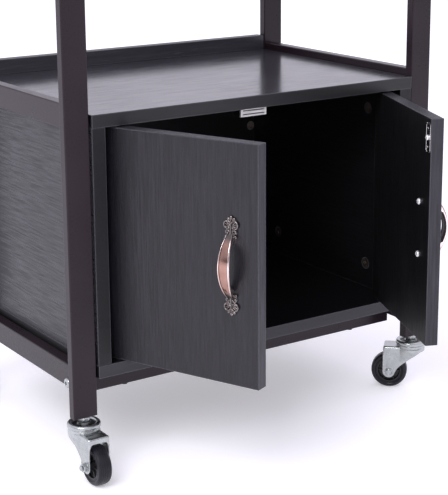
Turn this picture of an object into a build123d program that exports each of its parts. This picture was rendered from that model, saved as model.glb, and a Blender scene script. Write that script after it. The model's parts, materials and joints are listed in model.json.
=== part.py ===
from build123d import *
from math import cos, radians, sin
import os

os.makedirs("parts", exist_ok=True)

# Salon trolley, millimetres. The origin is on the floor, below the middle of the
# four posts. +X is to the right of someone facing the doors, -Y is the door side.

# Steel frame
frame_width = 550.0
frame_depth = 350.0
post_width = 32.0
post_depth = 12.5
rail_width = 15.0
rail_height = 30.0
cross_rail_depth = 12.5
cross_rail_height = 32.0
cross_rail_setback = 39.0
tube_wall = 1.2
tube_corner = 1.6
plug_clearance = 0.05
lower_rail_rise = 24.0
lower_board_seat = 22.0
tray_rail_upstand = 9.5
worktop_height = 880.0

# Boards of the cabinet
board_thickness = 16.0
side_panel_thickness = 18.0
back_panel_thickness = 16.0
cabinet_opening_height = 289.0
board_side_gap = 2.0
board_overhang = 3.0
panel_setback = 1.0
board_edge_radius = 0.6
rim_height = 20.3
rim_thickness = 16.0
worktop_overhang_x = 3.0
worktop_edge_radius = 1.5

# Doors, hung on pins in their top and bottom edges
door_thickness = 16.0
door_side_gap = 4.5
door_centre_gap = 7.0
door_flange_gap = 0.3
door_pivot_edge = 14.0
left_door_angle = 66.6
right_door_angle = 68.1
pivot_pin_radius = 3.0
pivot_pin_in_door = 14.0
pivot_end_gap = 1.0
pivot_fit = 0.05
bush_radius = 5.0
bush_flange_radius = 7.0
bush_flange_thickness = 1.7
bush_depth = 9.0
bush_end = 1.0

# Pulls
handle_length = 118.0
handle_hole_spacing = 67.0
handle_from_free_edge = 34.5
handle_projection = 20.0
strap_width = 15.6
strap_neck_width = 7.0
strap_thickness = 4.0
strap_foot_height = 2.4
strap_leg_outside_hole = 6.5
strap_leg_inside_hole = 3.5
rosette_thickness = 3.0
rosette_stem_width = 7.0
palm_radius = 3.6
palm_side_radius = 3.0
palm_side_spread = 4.2
palm_side_drop = 2.2
loop_radius = 5.0
loop_spread = 4.8
loop_from_end = 13.0
bud_radius = 2.2
bud_spread = 5.0
bud_from_end = 23.0
handle_screw_radius = 2.0
handle_screw_head_radius = 4.0
handle_screw_head_height = 2.5
handle_screw_bite = 4.5
screw_hole_clearance = 0.3

# Magnetic catch and its strike plates
strike_width = 14.0
strike_height = 36.0
strike_thickness = 1.2
strike_corner = 3.0
strike_from_free_edge = 8.5
strike_from_top = 6.0
strike_screw_radius = 1.75
strike_screw_length = 12.0
strike_screw_head_radius = 3.4
strike_screw_head_height = 2.4
catch_width = 39.0
catch_height = 14.0
catch_depth = 18.0
catch_shell = 1.5
catch_corner = 1.0
catch_gap = 0.7
magnet_width = 8.0
magnet_height = 9.0
magnet_depth = 12.0
magnet_stand = 0.3
magnet_inset = 3.5

# Knock-down fittings of the cabinet
cam_radius = 7.5
cam_depth = 13.5
cam_clearance = 0.1
cam_from_panel_end = 34.0
front_cam_from_posts = 65.0
rear_cam_from_posts = 76.5
cam_slot_length = 8.0
cam_slot_width = 2.0
cam_slot_depth = 2.5
dowel_radius = 3.5
dowel_bite = 11.0
back_cam_radius = 6.5
back_cam_from_edge = 7.0
back_cam_from_board = 100.0
back_dowel_radius = 2.5
back_dowel_bite = 8.0

# Fasteners of the frame
frame_bolt_radius = 3.0
frame_bolt_head_radius = 6.4
frame_bolt_head_height = 3.6
frame_bolt_head_round = 2.0
frame_bolt_bite = 22.0
frame_bolt_hole_clearance = 0.25
rail_plug_length = 28.0
board_screw_radius = 2.5
board_screw_head_radius = 4.2
board_screw_head_height = 1.6
board_screw_bite = 12.0
board_screw_inset = 63.0
wood_screw_radius = 2.0
wood_screw_head_radius = 4.0
wood_screw_head_height = 2.2
rim_screw_length = 34.0
rim_screw_inset = 51.0
catch_screw_length = 12.0
catch_screw_inset = 3.6
catch_screw_head_radius = 2.3
catch_screw_radius = 1.6

# Swivel castors
wheel_radius = 25.0
tyre_width = 18.0
tyre_edge_radius = 5.0
hub_radius = 17.0
hub_width = 16.0
hub_web_width = 8.0
hub_rim_thickness = 2.0
hub_draft = 1.0
hub_boss_radius = 6.0
hub_side_play = 1.3
axle_radius = 3.0
axle_fit = 0.05
castor_trail = 29.0
fork_inner_width = 25.0
fork_gauge = 2.0
fork_crown_radius = 20.0
fork_crown_rise = 37.0
fork_front_reach = 37.5
fork_foot_radius = 8.5
fork_foot_angle = 35.0
fork_back_reach = 15.0
fork_waist_reach = 6.0
fork_waist_rise = 12.0
fork_heel_drop = 6.0
fork_lip_depth = 5.5
fork_bend_radius = 2.0
crown_ring_radius = 17.4
crown_ring_gauge = 1.2
crown_ring_height = 2.9
kingpin_radius = 4.95
kingpin_fit = 0.05
kingpin_head_radius = 7.5
kingpin_head_height = 2.7
swivel_gap = 0.3
cap_radius = 21.0
cap_mouth_radius = 15.6
cap_rise = 9.0
cap_skirt_height = 1.2
cap_floor_rise = 4.0
cap_gauge = 1.4
stem_radius = 4.0
stem_length = 24.0
stem_nut_across_flats = 14.0
stem_nut_height = 6.6
stem_collar_radius = 8.5
stem_collar_height = 3.0
foot_plug_length = 28.0
ball_radius = 1.8
ball_play = 0.2
ball_count = 14
axle_head_radius = 5.6
axle_head_height = 2.2
axle_head_round = 1.2
axle_nut_across_flats = 10.0
axle_nut_height = 5.0
axle_tip = 2.5
front_left_heading = -90.0
front_right_heading = 136.0
rear_left_heading = -100.0
rear_right_heading = -118.0

# Places worked out from the sizes above
fork_crown_top = wheel_radius + fork_crown_rise
fork_crown_bottom = fork_crown_top - fork_gauge
fork_half_width = fork_inner_width / 2 + fork_gauge
hub_boss_width = fork_inner_width - 2 * hub_side_play
cap_floor = fork_crown_top + cap_floor_rise
cap_top = fork_crown_top + cap_rise
ball_ring_radius = crown_ring_radius - crown_ring_gauge - ball_radius - ball_play
stem_nut_z = cap_floor + cap_gauge + stem_collar_height
castor_height = stem_nut_z + stem_nut_height
post_x = (frame_width - post_width) / 2
post_y = (frame_depth - post_depth) / 2
post_inner_x = frame_width / 2 - post_width
rail_x = post_inner_x + rail_width / 2
rail_span = frame_depth - 2 * post_depth
cross_rail_y = frame_depth / 2 - cross_rail_setback - cross_rail_depth / 2
lower_rail_bottom = castor_height + lower_rail_rise
bottom_board_z = lower_rail_bottom + lower_board_seat
cabinet_floor_z = bottom_board_z + board_thickness
tray_board_z = cabinet_floor_z + cabinet_opening_height
tray_top_z = tray_board_z + board_thickness
tray_rail_bottom = tray_top_z + tray_rail_upstand - rail_height
worktop_z = worktop_height - board_thickness
top_rail_bottom = worktop_z - rail_height
board_half_x = post_inner_x - board_side_gap
board_half_y = frame_depth / 2 + board_overhang
rim_y = board_half_y - rim_thickness / 2
panel_half_y = board_half_y - panel_setback
panel_inner_x = board_half_x - side_panel_thickness
panel_mid_x = board_half_x - side_panel_thickness / 2
back_panel_y = panel_half_y - back_panel_thickness
back_dowel_y = back_panel_y + back_panel_thickness / 2
back_cam_x = panel_inner_x - back_cam_from_edge
board_screw_x = post_inner_x - board_screw_inset
rim_screw_x = board_half_x - rim_screw_inset
door_front_y = -frame_depth / 2
door_gap = bush_flange_thickness + door_flange_gap
door_width = panel_inner_x - door_side_gap - door_centre_gap / 2
catch_front_y = door_front_y + door_thickness + strike_thickness + catch_gap
catch_z = tray_board_z - catch_height / 2
pivot_x = door_centre_gap / 2 + door_width - door_pivot_edge
pivot_y = door_front_y + door_thickness / 2
door_z = cabinet_floor_z + door_gap
door_height = cabinet_opening_height - 2 * door_gap
pivot_pin_in_bush = bush_depth - bush_end - pivot_end_gap
handle_u = door_width - door_pivot_edge - handle_from_free_edge
handle_z = door_z + door_height / 2
strike_u = door_width - door_pivot_edge - strike_from_free_edge
strike_z = door_z + door_height - strike_from_top - strike_height / 2
ends = (-1, 1)
cam_ys = (-frame_depth / 2 + front_cam_from_posts, frame_depth / 2 - rear_cam_from_posts)
cam_heights = (cabinet_floor_z + cam_from_panel_end, tray_board_z - cam_from_panel_end)
back_cam_heights = (cabinet_floor_z + back_cam_from_board, tray_board_z - back_cam_from_board)
strap_foot_reach = handle_hole_spacing / 2 + strap_leg_outside_hole
finger_gap_reach = handle_hole_spacing / 2 - strap_leg_inside_hole
palm_reach = handle_length / 2 - palm_radius
loop_reach = handle_length / 2 - loop_from_end
bud_reach = handle_length / 2 - bud_from_end
catch_screw_x = catch_width / 2 - catch_screw_inset
rim_screw_spots = [(step * rim_screw_x, rim_y) for step in (-1, 0, 1)]
board_screw_spots = [(side * board_screw_x, end * cross_rail_y) for side in ends for end in ends]
catch_spots = [(side * catch_screw_x, catch_front_y + catch_depth / 2) for side in ends]
magnet_spots = [(side * (pivot_x - strike_u - magnet_inset), catch_z) for side in ends]
pivot_spots = [(side * pivot_x, pivot_y) for side in ends]
panel_dowel_spots = [(side * panel_mid_x, y) for side in ends for y in cam_ys]
corners = {
    "front_left": (-post_x, -post_y, front_left_heading),
    "front_right": (post_x, -post_y, front_right_heading),
    "rear_left": (-post_x, post_y, rear_left_heading),
    "rear_right": (post_x, post_y, rear_right_heading),
}


# Posts: flat tube, wide side to the front, from the castors to the worktop
for corner, (x, y, heading) in corners.items():
    with BuildPart() as post:
        with BuildSketch(Plane.XY.offset(castor_height)):
            with Locations((x, y)):
                RectangleRounded(post_width, post_depth, tube_corner)
                Rectangle(post_width - 2 * tube_wall, post_depth - 2 * tube_wall, mode=Mode.SUBTRACT)
        extrude(amount=worktop_z - castor_height)
    post.part.label = f"post_{corner}"
    export_step(post.part, f"parts/post_{corner}.step")


# Plugs in the posts' feet that take the castor stems
with BuildPart() as foot_plugs:
    with BuildSketch(Plane.XY.offset(castor_height)):
        with Locations([(x, y) for x, y, heading in corners.values()]):
            Rectangle(
                post_width - 2 * (tube_wall + plug_clearance),
                post_depth - 2 * (tube_wall + plug_clearance),
            )
            Circle(stem_radius, mode=Mode.SUBTRACT)
    extrude(amount=foot_plug_length)
foot_plugs.part.label = "post_foot_plugs"
export_step(foot_plugs.part, "parts/post_foot_plugs.step")


# Side rails, welded between the front and rear posts, flush with their inner faces
def side_rail(label, side, bottom, bolt_z):
    middle = Plane.XZ.offset(rail_span / 2)
    outward = Plane(origin=(side * post_inner_x, 0, 0), x_dir=(0, 1, 0), z_dir=(side, 0, 0))
    with BuildPart() as rail:
        with BuildSketch(middle):
            with Locations((side * rail_x, bottom + rail_height / 2)):
                RectangleRounded(rail_width, rail_height, tube_corner)
                Rectangle(rail_width - 2 * tube_wall, rail_height - 2 * tube_wall, mode=Mode.SUBTRACT)
        extrude(amount=-rail_span)
        if bolt_z is not None:
            with BuildSketch(outward):
                with Locations([(end * cross_rail_y, side * bolt_z) for end in ends]):
                    Circle(frame_bolt_radius + frame_bolt_hole_clearance)
            extrude(amount=rail_width, mode=Mode.SUBTRACT)
    rail.part.label = label
    export_step(rail.part, f"parts/{label}.step")


lower_bolt_z = bottom_board_z - cross_rail_height / 2
top_bolt_z = worktop_z - cross_rail_height / 2
for hand, side in (("left", -1), ("right", 1)):
    side_rail(f"lower_side_rail_{hand}", side, lower_rail_bottom, lower_bolt_z)
    side_rail(f"tray_side_rail_{hand}", side, tray_rail_bottom, None)
    side_rail(f"top_side_rail_{hand}", side, top_rail_bottom, top_bolt_z)


# Cross rails, bolted between the side rails under the bottom board and the worktop
def cross_rail(label, end, top):
    bore = cross_rail_height - 2 * tube_wall
    with BuildPart() as rail:
        with BuildSketch(Plane.YZ.offset(-post_inner_x)):
            with Locations((end * cross_rail_y, top - cross_rail_height / 2)):
                RectangleRounded(cross_rail_depth, cross_rail_height, tube_corner)
                Rectangle(cross_rail_depth - 2 * tube_wall, bore, mode=Mode.SUBTRACT)
        extrude(amount=2 * post_inner_x)
        with BuildSketch(Plane.XY.offset(top)):
            with Locations([(hand * board_screw_x, end * cross_rail_y) for hand in ends]):
                Circle(board_screw_radius + screw_hole_clearance)
        extrude(amount=-cross_rail_height, mode=Mode.SUBTRACT)
    rail.part.label = label
    export_step(rail.part, f"parts/{label}.step")


for place, end in (("front", -1), ("rear", 1)):
    cross_rail(f"lower_cross_rail_{place}", end, bottom_board_z)
    cross_rail(f"top_cross_rail_{place}", end, worktop_z)


# Threaded plugs in the ends of the cross rails
with BuildPart() as rail_plugs:
    for side in ends:
        inward = Plane(origin=(side * post_inner_x, 0, 0), x_dir=(0, 1, 0), z_dir=(side, 0, 0))
        with BuildSketch(inward):
            with Locations(
                [(end * cross_rail_y, side * z) for end in ends for z in (lower_bolt_z, top_bolt_z)]
            ):
                Rectangle(
                    cross_rail_depth - 2 * (tube_wall + plug_clearance),
                    cross_rail_height - 2 * (tube_wall + plug_clearance),
                )
                Circle(frame_bolt_radius, mode=Mode.SUBTRACT)
        extrude(amount=-rail_plug_length)
rail_plugs.part.label = "cross_rail_plugs"
export_step(rail_plugs.part, "parts/cross_rail_plugs.step")


# Round-headed bolts through the side rails into those plugs
with BuildPart() as frame_bolts:
    for side in ends:
        face = Plane(origin=(side * (post_inner_x + rail_width), 0, 0), x_dir=(0, 1, 0), z_dir=(side, 0, 0))
        spots = [(end * cross_rail_y, side * z) for end in ends for z in (lower_bolt_z, top_bolt_z)]
        with BuildSketch(face):
            with Locations(spots):
                Circle(frame_bolt_head_radius)
        extrude(amount=frame_bolt_head_height)
        crowns = frame_bolts.faces().filter_by(Axis.X).sort_by(Axis.X, reverse=side > 0)[:len(spots)]
        fillet(crowns.edges(), frame_bolt_head_round)
        with BuildSketch(face):
            with Locations(spots):
                Circle(frame_bolt_radius)
        extrude(amount=-(rail_width + frame_bolt_bite))
frame_bolts.part.label = "frame_bolts"
export_step(frame_bolts.part, "parts/frame_bolts.step")


# Bottom board and tray board: plain rectangles between the posts and the side rails
with BuildPart() as bottom_board:
    with BuildSketch(Plane.XY.offset(bottom_board_z)):
        Rectangle(2 * board_half_x, 2 * board_half_y)
    extrude(amount=board_thickness)
    fillet(bottom_board.edges(), board_edge_radius)
    with BuildSketch(Plane.XY.offset(bottom_board_z)):
        with Locations(board_screw_spots):
            Circle(board_screw_radius)
    extrude(amount=board_screw_bite, mode=Mode.SUBTRACT)
    with BuildSketch(Plane.XY.offset(cabinet_floor_z)):
        with Locations(pivot_spots):
            Circle(bush_radius)
    extrude(amount=-bush_depth, mode=Mode.SUBTRACT)
    with BuildSketch(Plane.XY.offset(cabinet_floor_z)):
        with Locations(panel_dowel_spots):
            Circle(dowel_radius)
    extrude(amount=-dowel_bite, mode=Mode.SUBTRACT)
bottom_board.part.label = "bottom_board"
export_step(bottom_board.part, "parts/bottom_board.step")

with BuildPart() as tray_board:
    with BuildSketch(Plane.XY.offset(tray_board_z)):
        Rectangle(2 * board_half_x, 2 * board_half_y)
    extrude(amount=board_thickness)
    fillet(tray_board.edges(), board_edge_radius)
    with BuildSketch(Plane.XY.offset(tray_board_z)):
        with Locations(pivot_spots):
            Circle(bush_radius)
    extrude(amount=bush_depth, mode=Mode.SUBTRACT)
    with BuildSketch(Plane.XY.offset(tray_board_z)):
        with Locations(panel_dowel_spots):
            Circle(dowel_radius)
    extrude(amount=dowel_bite, mode=Mode.SUBTRACT)
    with BuildSketch(Plane.XY.offset(tray_board_z)):
        with Locations(catch_spots):
            Circle(catch_screw_radius)
    extrude(amount=catch_screw_length - catch_shell, mode=Mode.SUBTRACT)
    with BuildSketch(Plane.XY.offset(tray_board_z)):
        with Locations(rim_screw_spots):
            Circle(wood_screw_radius + screw_hole_clearance)
    extrude(amount=board_thickness, mode=Mode.SUBTRACT)
    with BuildSketch(Plane.XY.offset(tray_board_z)):
        with Locations(rim_screw_spots):
            Circle(wood_screw_head_radius + screw_hole_clearance)
    extrude(amount=wood_screw_head_height + screw_hole_clearance, mode=Mode.SUBTRACT)
tray_board.part.label = "tray_board"
export_step(tray_board.part, "parts/tray_board.step")


# Side panels of the cabinet, with the seats of their cams and dowels
for hand, side in (("left", -1), ("right", 1)):
    inner_face = Plane(origin=(side * panel_inner_x, 0, 0), x_dir=(0, 1, 0), z_dir=(side, 0, 0))
    with BuildPart() as side_panel:
        with BuildSketch(Plane.XY.offset(cabinet_floor_z)):
            with Locations((side * panel_mid_x, 0)):
                Rectangle(side_panel_thickness, 2 * panel_half_y)
        extrude(amount=cabinet_opening_height)
        fillet(side_panel.edges(), board_edge_radius)
        with BuildSketch(inner_face):
            with Locations([(y, side * z) for y in cam_ys for z in cam_heights]):
                Circle(cam_radius + cam_clearance)
        extrude(amount=cam_depth, mode=Mode.SUBTRACT)
        with BuildSketch(Plane.XY.offset(cabinet_floor_z)):
            with Locations([(side * panel_mid_x, y) for y in cam_ys]):
                Circle(dowel_radius)
        extrude(amount=cam_from_panel_end, mode=Mode.SUBTRACT)
        with BuildSketch(Plane.XY.offset(tray_board_z)):
            with Locations([(side * panel_mid_x, y) for y in cam_ys]):
                Circle(dowel_radius)
        extrude(amount=-cam_from_panel_end, mode=Mode.SUBTRACT)
        with BuildSketch(inner_face):
            with Locations([(back_dowel_y, side * z) for z in back_cam_heights]):
                Circle(back_dowel_radius)
        extrude(amount=back_dowel_bite, mode=Mode.SUBTRACT)
    side_panel.part.label = f"side_panel_{hand}"
    export_step(side_panel.part, f"parts/side_panel_{hand}.step")


# Back panel, between the side panels
back_inner = Plane(origin=(0, back_panel_y, 0), x_dir=(1, 0, 0), z_dir=(0, -1, 0))
with BuildPart() as back_panel:
    with BuildSketch(Plane.XY.offset(cabinet_floor_z)):
        with Locations((0, back_dowel_y)):
            Rectangle(2 * panel_inner_x, back_panel_thickness)
    extrude(amount=cabinet_opening_height)
    fillet(back_panel.edges(), board_edge_radius)
    with BuildSketch(back_inner):
        with Locations([(side * back_cam_x, z) for side in ends for z in back_cam_heights]):
            Circle(back_cam_radius + cam_clearance)
    extrude(amount=-cam_depth, mode=Mode.SUBTRACT)
    for side in ends:
        back_end = Plane(origin=(side * panel_inner_x, 0, 0), x_dir=(0, 1, 0), z_dir=(side, 0, 0))
        with BuildSketch(back_end):
            with Locations([(back_dowel_y, side * z) for z in back_cam_heights]):
                Circle(back_dowel_radius)
        extrude(amount=-back_cam_from_edge, mode=Mode.SUBTRACT)
back_panel.part.label = "back_panel"
export_step(back_panel.part, "parts/back_panel.step")


# Upstand along the back of the tray
with BuildPart() as tray_rim:
    with BuildSketch(Plane.XY.offset(tray_top_z)):
        with Locations((0, rim_y)):
            Rectangle(2 * board_half_x, rim_thickness)
    extrude(amount=rim_height)
    fillet(tray_rim.edges(), board_edge_radius)
    with BuildSketch(Plane.XY.offset(tray_top_z)):
        with Locations(rim_screw_spots):
            Circle(wood_screw_radius)
    extrude(amount=rim_screw_length - board_thickness, mode=Mode.SUBTRACT)
tray_rim.part.label = "tray_back_rim"
export_step(tray_rim.part, "parts/tray_back_rim.step")


# Worktop, laid on the posts and rails
with BuildPart() as worktop:
    with BuildSketch(Plane.XY.offset(worktop_z)):
        Rectangle(frame_width + 2 * worktop_overhang_x, 2 * board_half_y)
    extrude(amount=board_thickness)
    fillet(worktop.edges(), worktop_edge_radius)
    with BuildSketch(Plane.XY.offset(worktop_z)):
        with Locations(board_screw_spots):
            Circle(board_screw_radius)
    extrude(amount=board_screw_bite, mode=Mode.SUBTRACT)
worktop.part.label = "worktop"
export_step(worktop.part, "parts/worktop.step")


# Screws up through the cross rails into the two boards that lie on them
with BuildPart() as board_screws:
    for top in (bottom_board_z, worktop_z):
        with BuildSketch(Plane.XY.offset(top - cross_rail_height)):
            with Locations(board_screw_spots):
                Circle(board_screw_radius)
        extrude(amount=cross_rail_height + board_screw_bite)
        with BuildSketch(Plane.XY.offset(top - cross_rail_height)):
            with Locations(board_screw_spots):
                Circle(board_screw_head_radius)
        extrude(amount=-board_screw_head_height)
board_screws.part.label = "board_screws"
export_step(board_screws.part, "parts/board_screws.step")


# Wood screws that hold the rim and the catch
with BuildPart() as wood_screws:
    with BuildSketch(Plane.XY.offset(tray_board_z)):
        with Locations(rim_screw_spots):
            Circle(wood_screw_head_radius)
    extrude(amount=wood_screw_head_height)
    with BuildSketch(Plane.XY.offset(tray_board_z)):
        with Locations(rim_screw_spots):
            Circle(wood_screw_radius)
    extrude(amount=rim_screw_length)
    with BuildSketch(Plane.XY.offset(tray_board_z - catch_shell)):
        with Locations(catch_spots):
            Circle(catch_screw_head_radius)
    extrude(amount=-wood_screw_head_height)
    with BuildSketch(Plane.XY.offset(tray_board_z - catch_shell)):
        with Locations(catch_spots):
            Circle(catch_screw_radius)
    extrude(amount=catch_screw_length)
wood_screws.part.label = "wood_screws"
export_step(wood_screws.part, "parts/wood_screws.step")


# Cams: slotted discs let into the panels, flush with their inner faces
with BuildPart() as cams:
    for side in ends:
        face = Plane(origin=(side * panel_inner_x, 0, 0), x_dir=(0, 1, 0), z_dir=(side, 0, 0))
        spots = [(y, side * z) for y in cam_ys for z in cam_heights]
        with BuildSketch(face):
            with Locations(spots):
                Circle(cam_radius)
        extrude(amount=cam_depth)
        with BuildSketch(face):
            with Locations(spots):
                Rectangle(cam_slot_length, cam_slot_width)
                Rectangle(cam_slot_width, cam_slot_length)
        extrude(amount=cam_slot_depth, mode=Mode.SUBTRACT)
        with BuildSketch(Plane.XY.offset(cabinet_floor_z)):
            with Locations([(side * panel_mid_x, y) for y in cam_ys]):
                Circle(dowel_radius)
        extrude(amount=cabinet_opening_height, mode=Mode.SUBTRACT)
    back_spots = [(side * back_cam_x, z) for side in ends for z in back_cam_heights]
    with BuildSketch(back_inner):
        with Locations(back_spots):
            Circle(back_cam_radius)
    extrude(amount=-cam_depth)
    with BuildSketch(back_inner):
        with Locations(back_spots):
            Rectangle(cam_slot_length, cam_slot_width)
            Rectangle(cam_slot_width, cam_slot_length)
    extrude(amount=-cam_slot_depth, mode=Mode.SUBTRACT)
    with BuildSketch(Plane.YZ.offset(-panel_inner_x)):
        with Locations([(back_dowel_y, z) for z in back_cam_heights]):
            Circle(back_dowel_radius)
    extrude(amount=2 * panel_inner_x, mode=Mode.SUBTRACT)
cams.part.label = "cams"
export_step(cams.part, "parts/cams.step")


# Dowels that the cams draw in
with BuildPart() as dowels:
    for board_face, up in ((cabinet_floor_z, 1), (tray_board_z, -1)):
        with BuildSketch(Plane.XY.offset(board_face - up * dowel_bite)):
            with Locations(panel_dowel_spots):
                Circle(dowel_radius)
        extrude(amount=up * (dowel_bite + cam_from_panel_end))
    for side in ends:
        inboard = Plane(
            origin=(side * (panel_inner_x + back_dowel_bite), 0, 0), x_dir=(0, 1, 0), z_dir=(side, 0, 0)
        )
        with BuildSketch(inboard):
            with Locations([(back_dowel_y, side * z) for z in back_cam_heights]):
                Circle(back_dowel_radius)
        extrude(amount=-(back_dowel_bite + back_cam_from_edge))
dowels.part.label = "cam_dowels"
export_step(dowels.part, "parts/cam_dowels.step")


# Bushes for the door pivots, pressed into the two boards, with a flange in the gap
with BuildPart() as bushes:
    for board_face, into in ((cabinet_floor_z, -1), (tray_board_z, 1)):
        with BuildSketch(Plane.XY.offset(board_face)):
            with Locations(pivot_spots):
                Circle(bush_radius)
        extrude(amount=into * bush_depth)
        with BuildSketch(Plane.XY.offset(board_face)):
            with Locations(pivot_spots):
                Circle(bush_flange_radius)
        extrude(amount=-into * bush_flange_thickness)
        with BuildSketch(Plane.XY.offset(board_face - into * bush_flange_thickness)):
            with Locations(pivot_spots):
                Circle(pivot_pin_radius + pivot_fit)
        extrude(amount=into * (bush_flange_thickness + bush_depth - bush_end), mode=Mode.SUBTRACT)
bushes.part.label = "pivot_bushes"
export_step(bushes.part, "parts/pivot_bushes.step")


# Magnetic catch under the tray board: an open-fronted housing with two magnets
with BuildPart() as catch_housing:
    with BuildSketch(Plane.XZ.offset(-catch_front_y)):
        with Locations((0, catch_z)):
            Rectangle(catch_width, catch_height)
    extrude(amount=-catch_depth)
    fillet(catch_housing.edges().filter_by(Axis.Y), catch_corner)
    with BuildSketch(Plane.XZ.offset(-catch_front_y)):
        with Locations(magnet_spots):
            Rectangle(magnet_width, magnet_height)
    extrude(amount=-(magnet_depth - magnet_stand), mode=Mode.SUBTRACT)
    with BuildSketch(Plane.XY.offset(tray_board_z - catch_shell)):
        with Locations(catch_spots):
            Circle(catch_screw_head_radius + screw_hole_clearance)
    extrude(amount=-catch_height, mode=Mode.SUBTRACT)
    with BuildSketch(Plane.XY.offset(tray_board_z)):
        with Locations(catch_spots):
            Circle(catch_screw_radius)
    extrude(amount=-catch_shell, mode=Mode.SUBTRACT)
catch_housing.part.label = "catch_housing"
export_step(catch_housing.part, "parts/catch_housing.step")

with BuildPart() as magnets:
    with BuildSketch(Plane.XZ.offset(-(catch_front_y - magnet_stand))):
        with Locations(magnet_spots):
            Rectangle(magnet_width, magnet_height)
    extrude(amount=-magnet_depth)
magnets.part.label = "catch_magnets"
export_step(magnets.part, "parts/catch_magnets.step")


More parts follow.
